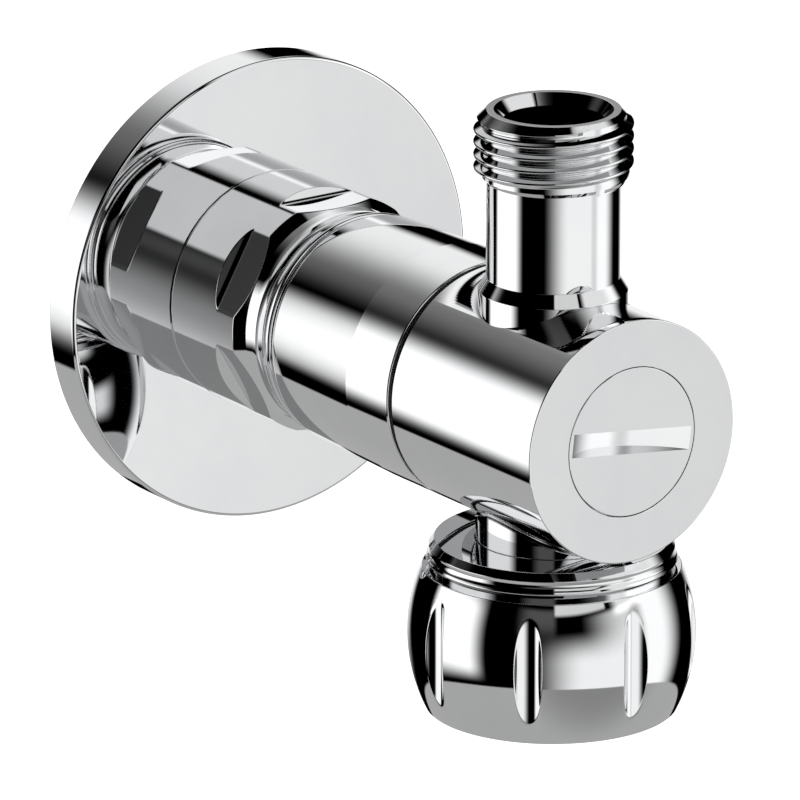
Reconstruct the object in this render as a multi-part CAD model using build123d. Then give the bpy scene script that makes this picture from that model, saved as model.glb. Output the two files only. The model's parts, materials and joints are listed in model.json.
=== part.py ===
from build123d import *
import os
from math import sqrt

# An angle stop valve with a strainer.
# The valve's main axis is Y, the wall's face is the plane y = 0, and the valve stands out towards -Y.
# The outlet points up, +Z, and the handwheel hangs below on the same upright axis.
# The origin is on the main axis in the wall's plane. Everything is in millimetres.

# ---------------------------------------------------------------- driving dimensions

BODY_R = 13.0
FRONT_Y = -70.4
STEM_Y = -56.4

ROSETTE_R = 25.5
ROSETTE_FRONT_Y = -4.6
ROSETTE_WALL = 1.2

# pipe threads to ISO 228
G_1_2_MAJOR_R = 10.4775
G_1_2_PITCH = 1.8143
G_3_8_MAJOR_R = 8.331
G_3_8_PITCH = 1.3368
THREAD_DEPTH_PER_PITCH = 0.6403

WALL_THREAD_END_Y = 13.0
WALL_THREAD_START_Y = -1.2
WATERWAY_R = 6.0

PILOT_R = 10.15
COLLAR_R = 13.05
COLLAR_END_Y = -17.5
WRENCH_START_Y = -12.2
WRENCH_ACROSS_FLATS = 24.3
NECK_R = 12.1
NECK_END_Y = -20.6

SWIVEL_R = 9.0
SWIVEL_BORE_R = 9.06
SWIVEL_END_Y = -36.5
SWIVEL_SHOULDER_Y = -32.6
SWIVEL_SEAL_YS = (-25.4, -29.0)
SWIVEL_GROOVE_R = 7.4
SNAP_GROOVE_Y = -33.2
SNAP_GROOVE_WIDTH = 1.0
SNAP_GROOVE_R = 8.0
THRUST_WASHER_R = 10.2

SLEEVE_REAR_Y = -22.5
SLEEVE_REAR_R = 12.6
SLEEVE_TAPER_END_Y = -37.4
BODY_SPLIT_R = 10.7
JOINT_GROOVE_Y = -44.95
JOINT_GROOVE_WIDTH = 0.7
BODY_SPIGOT_END_Y = -38.4

STRAINER_BORE_R = 7.0
STRAINER_REAR_Y = -49.5
STRAINER_WINDOW_R = 3.2
PLUG_R = 7.95
PLUG_BORE_R = 8.03
PLUG_STEP_Y = -66.9
PLUG_END_Y = -63.4
PLUG_GROOVE_R = 5.5
PLUG_GROOVE_FRONT_Y = -66.2
PLUG_GROOVE_REAR_Y = -64.4
SLOT_WIDTH = 2.5
SLOT_DEPTH = 1.5
SLOT_CUTTER_R = 19.5
SLOT_TILT_DEG = -6.8

SEAT_HOLE_R = 2.5
SEAT_RING_R = 4.0
SEAT_RING_TOP_Z = -7.9
CHAMBER_TOP_Z = -9.2
CHAMBER_R = 5.4
GALLERY_SPACING = 2.7
BONNET_TOP_Z = -12.6
BONNET_R = 6.5
BONNET_NECK_END_Z = -24.0
BOSS_R = 8.0
BOSS_END_Z = -17.0
GASKET_THICKNESS = 0.6
LEDGE_Z = -20.5
PLUNGER_TRAVEL = 2.5
PLUNGER_BORE_TOP_Z = -12.6
WASHER_TOP_Z = -9.52
WASHER_BOTTOM_Z = -11.0
WASHER_R = 4.0
WASHER_HOLE_R = 1.0
SPINDLE_R = 3.0
SPINDLE_BORE_R = 3.05
SQUARE_SIDE = 4.2
SQUARE_TOP_Z = -24.9
SQUARE_END_Z = -28.9
SPINDLE_SEAL_ZS = (-21.75, -23.0)
SPINDLE_GROOVE_R = 2.3
CIRCLIP_TOP_Z = -24.1
CIRCLIP_GROOVE_R = 2.5
SCREW_THREAD_R = 1.25
SCREW_SEAT_Z = -29.5

OUTLET_FOOT_Z = 8.6
OUTLET_FOOT_HOLE_R = 3.4
OUTLET_SEAL_INNER_R = 4.2
OUTLET_SEAL_OUTER_R = 6.2
OUTLET_SEAL_THICKNESS = 0.9
OUTLET_COLLAR_R = 7.82
OUTLET_COLLAR_Z = 13.1
OUTLET_TUBE_R = 6.97
OUTLET_TUBE_Z = 14.45
OUTLET_THREAD_Z = 25.2
OUTLET_TOP_Z = 32.4
OUTLET_BORE_R = 5.3
OUTLET_STOP_Z = 18.0
OUTLET_MOUTH_R = 6.2

WHEEL_TOP_Z = -14.0
WHEEL_RING_Z = -16.6
WHEEL_BARREL_Z = -17.0
WHEEL_BARREL_R = 13.6
WHEEL_WAIST_Z = -24.4
WHEEL_WAIST_R = 15.1
WHEEL_END_Z = -32.4
WHEEL_END_R = 13.2
WHEEL_BORE_R = 10.4
WHEEL_LEDGE_Z = -31.2
COVER_R = 9.4
FLUTE_COUNT = 8
FLUTE_CUTTER_R = 1.7
FLUTE_BOTTOM_R = 14.17

EDGE = 0.15
TURNING_GAP = 0.1


# ---------------------------------------------------------------- helpers

def turned_y(*profile):
    """Turns a closed outline of (y, radius) points about the main axis."""
    points = [(radius, y, 0) for y, radius in profile]
    outline = make_face(Polyline(*points, close=True))
    return revolve(outline, Axis.Y, 360)


def turned_z(*profile):
    """Turns a closed outline of (z, radius) points about the upright axis."""
    points = [(radius, 0, z) for z, radius in profile]
    outline = make_face(Polyline(*points, close=True))
    return Pos(0, STEM_Y, 0) * revolve(outline, Axis.Z, 360)


def rod_y(radius, y_a, y_b):
    """A solid cylinder on the main axis."""
    return turned_y((y_a, 0), (y_b, 0), (y_b, radius), (y_a, radius))


def rod_z(radius, z_a, z_b):
    """A solid cylinder on the upright axis."""
    return turned_z((z_a, 0), (z_b, 0), (z_b, radius), (z_a, radius))


def ring_y(inner, outer, y_a, y_b):
    """A square-edged ring on the main axis."""
    return turned_y((y_a, inner), (y_b, inner), (y_b, outer), (y_a, outer))


def ring_z(inner, outer, z_a, z_b):
    """A square-edged ring on the upright axis."""
    return turned_z((z_a, inner), (z_b, inner), (z_b, outer), (z_a, outer))


def o_ring_y(inner, outer, y):
    """A round-section ring on the main axis."""
    section = (outer - inner) / 2
    return Pos(0, y, 0) * Rot(90, 0, 0) * Torus(inner + section, section)


def o_ring_z(inner, outer, z):
    """A round-section ring on the upright axis."""
    section = (outer - inner) / 2
    return Pos(0, STEM_Y, z) * Torus(inner + section, section)


def thread_outline(start, end, major_r, pitch):
    """Points (station, radius) of ridges at the thread's pitch, from start up to end, both ends on a root."""
    root_r = major_r - THREAD_DEPTH_PER_PITCH * pitch
    count = int((end - start) / pitch)
    crest = pitch / 8
    flank = (pitch - 2 * crest) / 2
    points = []
    for ridge in range(count):
        foot = start + ridge * pitch
        points += [
            (foot, root_r),
            (foot + flank, major_r),
            (foot + flank + crest, major_r),
            (foot + 2 * flank + crest, root_r),
        ]
    return points


def hexagon(across_flats, height):
    """A six-sided bar centred on the origin, its length along Z and two of its flats facing +Y and -Y."""
    outline = RegularPolygon(across_flats / 2, 6, major_radius=False)
    return extrude(outline, height / 2, both=True)


def save(node, solid):
    """Writes one sub-part under its node name."""
    export_step(solid, f"parts/{node}.step")


# ---------------------------------------------------------------- wall side: stands still

def inlet_connector():
    """Wall thread, collar with wrench flats that end in 45 degree shoulders, neck and swivel spigot."""
    root_r = G_1_2_MAJOR_R - THREAD_DEPTH_PER_PITCH * G_1_2_PITCH
    seal_groove_y = -3.3
    collar_chamfer_y = -16.4
    groove_half = 0.95
    entry_chamfer = 0.5
    snap_groove_end_y = SNAP_GROOVE_Y - SNAP_GROOVE_WIDTH

    outline = [
        (WALL_THREAD_END_Y, WATERWAY_R),
        (SWIVEL_END_Y, WATERWAY_R),
        (SWIVEL_END_Y, SWIVEL_R - entry_chamfer),
        (SWIVEL_END_Y + entry_chamfer, SWIVEL_R),
        (snap_groove_end_y, SWIVEL_R),
        (snap_groove_end_y, SNAP_GROOVE_R),
        (SNAP_GROOVE_Y, SNAP_GROOVE_R),
        (SNAP_GROOVE_Y, SWIVEL_R),
    ]
    for y in sorted(SWIVEL_SEAL_YS):
        outline += [
            (y - groove_half, SWIVEL_R),
            (y - groove_half, SWIVEL_GROOVE_R),
            (y + groove_half, SWIVEL_GROOVE_R),
            (y + groove_half, SWIVEL_R),
        ]
    outline += [
        (NECK_END_Y, SWIVEL_R),
        (NECK_END_Y, NECK_R),
        (COLLAR_END_Y, NECK_R),
        (collar_chamfer_y, COLLAR_R),
        (ROSETTE_FRONT_Y - EDGE, COLLAR_R),
        (ROSETTE_FRONT_Y, COLLAR_R - EDGE),
        (ROSETTE_FRONT_Y, PILOT_R),
        (seal_groove_y, PILOT_R),
        (seal_groove_y, root_r),
    ]
    outline += thread_outline(WALL_THREAD_START_Y, WALL_THREAD_END_Y, G_1_2_MAJOR_R, G_1_2_PITCH)
    outline += [(WALL_THREAD_END_Y, root_r - EDGE)]
    turned = turned_y(*outline)

    flats_length = WRENCH_START_Y - COLLAR_END_Y
    flats_y = (WRENCH_START_Y + COLLAR_END_Y) / 2
    shoulder_depth = COLLAR_R - WRENCH_ACROSS_FLATS / 2
    shoulder_y = WRENCH_START_Y - shoulder_depth
    shoulder_outline = RegularPolygon(WRENCH_ACROSS_FLATS / 2, 6, major_radius=False)
    shoulder = extrude(shoulder_outline, shoulder_depth + 0.2, taper=-45)
    waste = ring_y(WATERWAY_R, COLLAR_R + 1, WRENCH_START_Y, COLLAR_END_Y)
    waste -= Pos(0, flats_y, 0) * Rot(90, 0, 0) * hexagon(WRENCH_ACROSS_FLATS, flats_length + 2)
    waste -= Pos(0, shoulder_y, 0) * Rot(-90, 0, 0) * shoulder
    return turned - waste


def rosette():
    """Polished round plate, hollow at the back, clamped to the wall by the collar."""
    hole_r = G_1_2_MAJOR_R + 0.27
    edge = 0.3
    rim_inner = ROSETTE_R - ROSETTE_WALL
    plate_back_y = ROSETTE_FRONT_Y + ROSETTE_WALL
    return turned_y(
        (0, rim_inner),
        (plate_back_y, rim_inner),
        (plate_back_y, hole_r),
        (ROSETTE_FRONT_Y, hole_r),
        (ROSETTE_FRONT_Y, ROSETTE_R - edge),
        (ROSETTE_FRONT_Y + edge, ROSETTE_R),
        (0, ROSETTE_R),
    )


def inlet_thread_seal():
    """PTFE ring pressed against the wall fitting as the connector is screwed in."""
    root_r = G_1_2_MAJOR_R - THREAD_DEPTH_PER_PITCH * G_1_2_PITCH
    proud = 0.2
    return ring_y(root_r, G_1_2_MAJOR_R + proud, -3.2, -1.5)


def swivel_o_rings():
    """Two seals in the spigot's grooves, just clear of the sleeve's bore."""
    return Compound([o_ring_y(SWIVEL_GROOVE_R, SWIVEL_R, y) for y in SWIVEL_SEAL_YS])


def swivel_washer():
    """Thin bearing ring seen between the neck and the rear sleeve, stepped at its middle."""
    step_y = -21.5
    rear_r = NECK_R + 0.1
    front_r = NECK_R + 0.4
    front_y = SLEEVE_REAR_Y + 0.2
    return turned_y(
        (NECK_END_Y, SWIVEL_R),
        (NECK_END_Y, rear_r),
        (step_y, rear_r),
        (step_y, front_r),
        (front_y, front_r),
        (front_y, SWIVEL_R),
    )


def swivel_thrust_washer():
    """Flat ring between the sleeve's shoulder and the snap ring."""
    end_play = 0.05
    return ring_y(SWIVEL_R, THRUST_WASHER_R, SWIVEL_SHOULDER_Y - end_play, SNAP_GROOVE_Y)


def swivel_snap_ring():
    """Split ring in the spigot's end groove."""
    middle_y = SNAP_GROOVE_Y - SNAP_GROOVE_WIDTH / 2
    gap_width = 2.4
    middle_r = (SNAP_GROOVE_R + THRUST_WASHER_R) / 2
    ring = ring_y(SNAP_GROOVE_R, THRUST_WASHER_R, SNAP_GROOVE_Y, SNAP_GROOVE_Y - SNAP_GROOVE_WIDTH)
    return ring - Pos(0, middle_y, middle_r) * Box(gap_width, 2 * SNAP_GROOVE_WIDTH, SNAP_GROOVE_R / 2)


# ---------------------------------------------------------------- valve body: swivels about Y

def rear_sleeve():
    """Rear half of the body, with the swivel's bearing bore and a slight taper outside."""
    corner_r = 1.0
    sleeve = turned_y(
        (SLEEVE_REAR_Y, SWIVEL_BORE_R + EDGE),
        (SLEEVE_REAR_Y, SLEEVE_REAR_R),
        (SLEEVE_TAPER_END_Y, BODY_R),
        (JOINT_GROOVE_Y + EDGE, BODY_R),
        (JOINT_GROOVE_Y, BODY_R - EDGE),
        (JOINT_GROOVE_Y, BODY_SPLIT_R),
        (SWIVEL_SHOULDER_Y, BODY_SPLIT_R),
        (SWIVEL_SHOULDER_Y, SWIVEL_BORE_R),
        (SLEEVE_REAR_Y - EDGE, SWIVEL_BORE_R),
    )
    rear_edges = sleeve.edges().filter_by(GeomType.CIRCLE).group_by(Axis.Y)[-1]
    return fillet(rear_edges.sort_by(SortBy.RADIUS)[-1], corner_r)


def joint_ring():
    """Dark sealing ring in the groove between the two halves of the body."""
    groove_floor_r = BODY_R - 0.6
    return ring_y(BODY_SPLIT_R, groove_floor_r, JOINT_GROOVE_Y, JOINT_GROOVE_Y - JOINT_GROOVE_WIDTH)


def front_body_blank():
    """Outside of the front half: cylinder, spigot for the rear sleeve and boss for the bonnet."""
    start_y = JOINT_GROOVE_Y - JOINT_GROOVE_WIDTH
    barrel = turned_y(
        (BODY_SPIGOT_END_Y, 0),
        (BODY_SPIGOT_END_Y, BODY_SPLIT_R),
        (start_y, BODY_SPLIT_R),
        (start_y, BODY_R - EDGE),
        (start_y - EDGE, BODY_R),
        (FRONT_Y + EDGE, BODY_R),
        (FRONT_Y, BODY_R - EDGE),
        (FRONT_Y, 0),
    )
    return barrel + rod_z(BOSS_R, -5, BOSS_END_Z)


def gallery(x):
    """Slanted drilling from the rear chamber down to the chamber below the seat."""
    drill_r = 1.2
    start = Vector(x, -44.2, -5.4)
    end = Vector(x, -52.6, -10.9)
    drill = Cylinder(drill_r, (end - start).length, align=(Align.CENTER, Align.CENTER, Align.MIN))
    return Plane(origin=start, z_dir=end - start).location * drill


def front_body():
    """Front half: strainer bore from the front, valve chamber below it, outlet socket above it."""
    rear_chamber_end_y = -46.0
    rear_chamber_r = 8.8
    stem_bore_top_z = -5
    outlet_hole_start_z = 5
    locating_lug = Pos(0, STRAINER_REAR_Y - 0.5, -5.9) * Box(1.8, 1.0, 1.0)

    body = front_body_blank()
    body -= rod_y(rear_chamber_r, BODY_SPIGOT_END_Y, rear_chamber_end_y)
    body -= rod_y(STRAINER_BORE_R, STRAINER_REAR_Y, FRONT_Y)
    body -= rod_y(PLUG_BORE_R, PLUG_STEP_Y, FRONT_Y)
    body -= rod_z(SEAT_HOLE_R, stem_bore_top_z, CHAMBER_TOP_Z)
    body -= rod_z(SEAT_RING_R, SEAT_RING_TOP_Z, CHAMBER_TOP_Z)
    body -= rod_z(CHAMBER_R, CHAMBER_TOP_Z, BONNET_TOP_Z)
    body -= rod_z(BONNET_R, BONNET_TOP_Z, BOSS_END_Z)
    body -= rod_z(OUTLET_FOOT_HOLE_R, outlet_hole_start_z, OUTLET_FOOT_Z)
    body -= rod_z(OUTLET_COLLAR_R, OUTLET_FOOT_Z, BODY_R + 1)
    for x in (-GALLERY_SPACING, 0, GALLERY_SPACING):
        body -= gallery(x)
    return body + locating_lug


def outlet_spigot():
    """Upright pipe end: collar, cone, tube and G 3/8 thread, with a mouth for a compression ring."""
    root_r = G_3_8_MAJOR_R - THREAD_DEPTH_PER_PITCH * G_3_8_PITCH
    mouth_depth = 1.2
    threads_end_z = 31.9
    undercut = 0.5
    seal_top_z = OUTLET_FOOT_Z + OUTLET_SEAL_THICKNESS
    outline = [
        (OUTLET_FOOT_Z, OUTLET_FOOT_HOLE_R),
        (OUTLET_FOOT_Z, OUTLET_SEAL_INNER_R),
        (seal_top_z, OUTLET_SEAL_INNER_R),
        (seal_top_z, OUTLET_SEAL_OUTER_R),
        (OUTLET_FOOT_Z, OUTLET_SEAL_OUTER_R),
        (OUTLET_FOOT_Z, OUTLET_COLLAR_R),
        (OUTLET_COLLAR_Z, OUTLET_COLLAR_R),
        (OUTLET_TUBE_Z, OUTLET_TUBE_R),
        (OUTLET_THREAD_Z - undercut, OUTLET_TUBE_R),
    ]
    outline += thread_outline(OUTLET_THREAD_Z, threads_end_z, G_3_8_MAJOR_R, G_3_8_PITCH)
    outline += [
        (threads_end_z, root_r),
        (OUTLET_TOP_Z, OUTLET_TUBE_R),
        (OUTLET_TOP_Z, OUTLET_MOUTH_R),
        (OUTLET_TOP_Z - mouth_depth, OUTLET_BORE_R),
        (OUTLET_STOP_Z, OUTLET_BORE_R),
        (OUTLET_STOP_Z, OUTLET_FOOT_HOLE_R),
    ]
    return turned_z(*outline)


def outlet_seal_ring():
    """Flat seal in the foot of the outlet spigot."""
    seal_top_z = OUTLET_FOOT_Z + OUTLET_SEAL_THICKNESS
    return ring_z(OUTLET_SEAL_INNER_R, OUTLET_SEAL_OUTER_R, OUTLET_FOOT_Z, seal_top_z)


def valve_seat():
    """Pressed ring with a narrow raised lip that the washer closes against."""
    lip_z = -9.5
    lip_width = 0.4
    lip_foot_width = 0.7
    return turned_z(
        (SEAT_RING_TOP_Z, SEAT_HOLE_R),
        (lip_z, SEAT_HOLE_R),
        (lip_z, SEAT_HOLE_R + lip_width),
        (CHAMBER_TOP_Z, SEAT_HOLE_R + lip_foot_width),
        (CHAMBER_TOP_Z, SEAT_RING_R),
        (SEAT_RING_TOP_Z, SEAT_RING_R),
    )


def bonnet():
    """Brass insert screwed into the boss: guides the plunger above and the spindle below."""
    guide_r = 4.2
    keyway_r = 5.0
    keyway_width = 1.8
    keyway_end_z = -19.4
    head_room_z = -15.2
    flange_top_z = BOSS_END_Z - GASKET_THICKNESS
    flange_r = 7.85
    hexagon_top_z = -18.4
    hexagon_end_z = -20.9
    hexagon_across_flats = 13.6
    lower_neck_r = 5.0

    turned = turned_z(
        (BONNET_TOP_Z, keyway_r),
        (BONNET_TOP_Z, BONNET_R),
        (flange_top_z, BONNET_R),
        (flange_top_z, flange_r),
        (hexagon_end_z, flange_r),
        (hexagon_end_z, lower_neck_r),
        (BONNET_NECK_END_Z, lower_neck_r),
        (BONNET_NECK_END_Z, SPINDLE_BORE_R),
        (LEDGE_Z, SPINDLE_BORE_R),
        (LEDGE_Z, guide_r),
        (head_room_z, guide_r),
        (head_room_z, keyway_r),
    )
    waste = ring_z(lower_neck_r, flange_r + 1, hexagon_top_z, hexagon_end_z)
    hexagon_z = (hexagon_top_z + hexagon_end_z) / 2
    hexagon_height = hexagon_top_z - hexagon_end_z
    waste -= Pos(0, STEM_Y, hexagon_z) * hexagon(hexagon_across_flats, hexagon_height + 1)
    keyway_length = head_room_z - keyway_end_z
    keyways = rod_z(keyway_r, head_room_z, keyway_end_z) & (
        Pos(0, STEM_Y, head_room_z - keyway_length / 2) * Box(2 * keyway_r, keyway_width, keyway_length)
    )
    return turned - waste - keyways


def bonnet_gasket():
    """Fibre washer between the boss's end and the bonnet's flange."""
    gasket_r = 7.7
    return ring_z(BONNET_R, gasket_r, BOSS_END_Z, BOSS_END_Z - GASKET_THICKNESS)


# ---------------------------------------------------------------- closing head: slides along Z

def plunger():
    """Cup for the washer on a keyed stem with the lifting thread's bore."""
    head_r = 4.6
    head_top_z = -10.2
    head_bottom_z = -12.3
    stem_r = 4.14
    stem_end_z = -16.7
    key_r = 4.9
    key_width = 1.6
    thread_bore_r = 2.55
    turned = turned_z(
        (head_top_z, WASHER_R),
        (head_top_z, head_r),
        (head_bottom_z, head_r),
        (head_bottom_z, stem_r),
        (stem_end_z, stem_r),
        (stem_end_z, thread_bore_r),
        (PLUNGER_BORE_TOP_Z, thread_bore_r),
        (PLUNGER_BORE_TOP_Z, WASHER_HOLE_R),
        (WASHER_BOTTOM_Z, WASHER_HOLE_R),
        (WASHER_BOTTOM_Z, WASHER_R),
    )
    key_length = head_bottom_z - stem_end_z
    keys = ring_z(thread_bore_r + 0.5, key_r, head_bottom_z, stem_end_z) & (
        Pos(0, STEM_Y, head_bottom_z - key_length / 2) * Box(2 * key_r, key_width, key_length)
    )
    return turned + keys


def seat_washer():
    """Soft disc that closes on the seat's lip."""
    return ring_z(WASHER_HOLE_R, WASHER_R, WASHER_TOP_Z, WASHER_BOTTOM_Z)


def washer_screw():
    """Small cheese-head screw through the washer."""
    head_top_z = -8.7
    head_r = 1.9
    head_edge = 0.2
    shank_end_z = -12.3
    slot_width = 0.5
    slot_depth = 0.4
    screw = turned_z(
        (head_top_z, 0),
        (head_top_z, head_r - head_edge),
        (head_top_z - head_edge, head_r),
        (WASHER_TOP_Z, head_r),
        (WASHER_TOP_Z, WASHER_HOLE_R),
        (shank_end_z, WASHER_HOLE_R),
        (shank_end_z, 0),
    )
    return screw - Pos(0, STEM_Y, head_top_z) * Box(2 * head_r + 1, slot_width, 2 * slot_depth)


# ---------------------------------------------------------------- handwheel: turns about Z

def spindle():
    """Lifting screw, thrust collar, sealed shaft and square end, with a tapped hole for the screw."""
    thread_r = 2.45
    tip_z = PLUNGER_BORE_TOP_Z - PLUNGER_TRAVEL - 0.1
    tip_chamfer = 0.4
    collar_r = 4.1
    collar_top_z = -19.5
    collar_end_z = LEDGE_Z + 0.02
    groove_half = 0.45
    circlip_groove_end_z = CIRCLIP_TOP_Z - 0.6
    tapping_top_z = -22.2
    outline = [
        (tip_z, 0),
        (tip_z, thread_r - tip_chamfer),
        (tip_z - tip_chamfer, thread_r),
        (collar_top_z, thread_r),
        (collar_top_z, collar_r),
        (collar_end_z, collar_r),
        (collar_end_z, SPINDLE_R),
    ]
    for z in SPINDLE_SEAL_ZS:
        outline += [
            (z + groove_half, SPINDLE_R),
            (z + groove_half, SPINDLE_GROOVE_R),
            (z - groove_half, SPINDLE_GROOVE_R),
            (z - groove_half, SPINDLE_R),
        ]
    outline += [
        (CIRCLIP_TOP_Z, SPINDLE_R),
        (CIRCLIP_TOP_Z, CIRCLIP_GROOVE_R),
        (circlip_groove_end_z, CIRCLIP_GROOVE_R),
        (circlip_groove_end_z, SPINDLE_R),
        (SQUARE_TOP_Z, SPINDLE_R),
        (SQUARE_TOP_Z, 0),
    ]
    square_length = SQUARE_TOP_Z - SQUARE_END_Z
    square_z = (SQUARE_TOP_Z + SQUARE_END_Z) / 2
    square = Pos(0, STEM_Y, square_z) * Box(SQUARE_SIDE, SQUARE_SIDE, square_length)
    return turned_z(*outline) + square - rod_z(SCREW_THREAD_R, tapping_top_z, SQUARE_END_Z - 1)


def spindle_o_rings():
    """Two seals in the spindle's grooves, just clear of the bonnet's bore."""
    outer_r = SPINDLE_R + 0.02
    return Compound([o_ring_z(SPINDLE_GROOVE_R, outer_r, z) for z in SPINDLE_SEAL_ZS])


def spindle_circlip():
    """Open clip in the spindle's groove under the bonnet."""
    clip_r = 4.2
    thickness = 0.5
    opening = 2.2
    end_z = CIRCLIP_TOP_Z - thickness
    clip = ring_z(CIRCLIP_GROOVE_R, clip_r, CIRCLIP_TOP_Z, end_z)
    return clip - Pos(0, STEM_Y + clip_r, end_z) * Box(opening, 2 * clip_r, 4 * thickness)


def handwheel_insert():
    """Moulded hub: fills the barrel, fits the spindle's square and takes the screw's head."""
    hub_r = 5.2
    disc_top_z = -26.6
    screw_hole_r = 1.4
    head_recess_r = 3.2
    head_wall_r = 4.6
    rim_inner_r = 8.8
    recess_top_z = -28.6
    hub = turned_z(
        (SQUARE_TOP_Z, 0),
        (SQUARE_TOP_Z, hub_r),
        (disc_top_z, hub_r),
        (disc_top_z, WHEEL_BORE_R),
        (WHEEL_LEDGE_Z, WHEEL_BORE_R),
        (WHEEL_LEDGE_Z, rim_inner_r),
        (recess_top_z, rim_inner_r),
        (recess_top_z, head_wall_r),
        (WHEEL_LEDGE_Z, head_wall_r),
        (WHEEL_LEDGE_Z, head_recess_r),
        (SCREW_SEAT_Z, head_recess_r),
        (SCREW_SEAT_Z, 0),
    )
    square_length = SQUARE_TOP_Z - SQUARE_END_Z
    square_z = (SQUARE_TOP_Z + SQUARE_END_Z) / 2
    hub -= Pos(0, STEM_Y, square_z) * Box(SQUARE_SIDE, SQUARE_SIDE, square_length)
    return hub - rod_z(screw_hole_r, SQUARE_END_Z, SCREW_SEAT_Z)


def handwheel_screw():
    """Socket screw that holds the handwheel on the spindle's square."""
    shank_top_z = -24.0
    head_r = 2.5
    head_end_z = -31.0
    head_edge = 0.2
    socket_across_flats = 2.0
    socket_depth = 0.9
    screw = turned_z(
        (shank_top_z, 0),
        (shank_top_z, SCREW_THREAD_R),
        (SCREW_SEAT_Z, SCREW_THREAD_R),
        (SCREW_SEAT_Z, head_r),
        (head_end_z + head_edge, head_r),
        (head_end_z, head_r - head_edge),
        (head_end_z, 0),
    )
    return screw - Pos(0, STEM_Y, head_end_z) * hexagon(socket_across_flats, 2 * socket_depth)


def handwheel_barrel():
    """Barrel-shaped grip with upright flutes, open at the top, with a ledge for the hub."""
    top = (WHEEL_BARREL_R, 0, WHEEL_BARREL_Z)
    waist = (WHEEL_WAIST_R, 0, WHEEL_WAIST_Z)
    end = (WHEEL_END_R, 0, WHEEL_END_Z)
    corners = [
        end,
        (COVER_R, 0, WHEEL_END_Z),
        (COVER_R, 0, WHEEL_LEDGE_Z),
        (WHEEL_BORE_R, 0, WHEEL_LEDGE_Z),
        (WHEEL_BORE_R, 0, WHEEL_BARREL_Z),
        top,
    ]
    outline = make_face([ThreePointArc(top, waist, end), Polyline(*corners)])
    barrel = Pos(0, STEM_Y, 0) * revolve(outline, Axis.Z, 360)
    middle_z = (WHEEL_BARREL_Z + WHEEL_END_Z) / 2
    length = WHEEL_BARREL_Z - WHEEL_END_Z
    for flute in PolarLocations(FLUTE_BOTTOM_R + FLUTE_CUTTER_R, FLUTE_COUNT):
        barrel -= Pos(0, STEM_Y, middle_z) * flute * Cylinder(FLUTE_CUTTER_R, length + 2)
    return barrel


def handwheel_top_ring():
    """Flat top with a hollowed band and a bead, spigoted into the barrel."""
    hole_r = BOSS_R + TURNING_GAP
    flat_r = 12.3
    shoulder_r = 12.9
    shoulder_z = -14.8
    bead_r = 13.2
    spigot_end_z = -18.6
    top = (flat_r, 0, WHEEL_TOP_Z)
    shoulder = (shoulder_r, 0, shoulder_z)
    hollow = (shoulder_r - 0.15, 0, -15.45)
    bead_top = (bead_r - 0.1, 0, -15.95)
    bead_middle = (bead_r, 0, -16.2)
    bead_end = (bead_r - 0.3, 0, WHEEL_RING_Z)
    corners = [
        bead_end,
        (shoulder_r - 0.3, 0, WHEEL_RING_Z),
        (shoulder_r - 0.3, 0, WHEEL_BARREL_Z),
        (WHEEL_BORE_R, 0, WHEEL_BARREL_Z),
        (WHEEL_BORE_R, 0, spigot_end_z),
        (WHEEL_BORE_R - 1.2, 0, spigot_end_z),
        (WHEEL_BORE_R - 1.2, 0, WHEEL_BARREL_Z + 0.9),
        (hole_r, 0, WHEEL_BARREL_Z + 0.9),
        (hole_r, 0, WHEEL_TOP_Z),
        top,
    ]
    edges = [
        Line(top, shoulder),
        ThreePointArc(shoulder, hollow, bead_top),
        ThreePointArc(bead_top, bead_middle, bead_end),
        Polyline(*corners),
    ]
    return Pos(0, STEM_Y, 0) * revolve(make_face(edges), Axis.Z, 360)


def handwheel_cover():
    """Bottom cap that hides the screw."""
    rim_chamfer = 0.3
    return turned_z(
        (WHEEL_LEDGE_Z, 0),
        (WHEEL_LEDGE_Z, COVER_R),
        (WHEEL_END_Z + rim_chamfer, COVER_R),
        (WHEEL_END_Z, COVER_R - rim_chamfer),
        (WHEEL_END_Z, 0),
    )


# ---------------------------------------------------------------- strainer and plug: unscrew to the front

CAGE_R = 6.9
CAGE_REAR_Y = STRAINER_REAR_Y - 0.1
CAGE_REAR_PLATE_Y = -51.6
CAGE_FRONT_PLATE_Y = -61.9
CAGE_FRONT_Y = -63.2
GAUZE_R = 5.95
GAUZE_WALL = 0.2


def strainer_window():
    """Round opening in the top of the strainer, under the outlet."""
    return rod_z(STRAINER_WINDOW_R, 3, CAGE_R + 1)


def filter_frame():
    """Moulded cage: two end plates, four inner ribs and a saddle that meets the bore round the window."""
    rear = rod_y(CAGE_R, CAGE_REAR_Y, CAGE_REAR_PLATE_Y)
    front = ring_y(2.0, CAGE_R, CAGE_FRONT_PLATE_Y, CAGE_FRONT_Y)
    frame = rear + front
    length = CAGE_REAR_PLATE_Y - CAGE_FRONT_PLATE_Y
    middle_y = (CAGE_REAR_PLATE_Y + CAGE_FRONT_PLATE_Y) / 2
    inner_r = GAUZE_R - GAUZE_WALL
    rib_width = 1.2
    rib_height = 1.1
    rib_z = sqrt(inner_r**2 - (rib_width / 2) ** 2) - rib_height / 2
    for turn in (45, 135, 225, 315):
        frame += Pos(0, middle_y, 0) * Rot(0, turn, 0) * Pos(0, 0, rib_z) * Box(rib_width, length, rib_height)
    saddle = ring_y(GAUZE_R, CAGE_R, CAGE_REAR_PLATE_Y, CAGE_FRONT_PLATE_Y)
    saddle &= Pos(0, middle_y, CAGE_R) * Box(9.0, length, 6.0)
    notch = Pos(0, CAGE_REAR_Y - 0.5, -5.9) * Box(2.2, 1.2, 2.2)
    return frame + saddle - strainer_window() - notch


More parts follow.
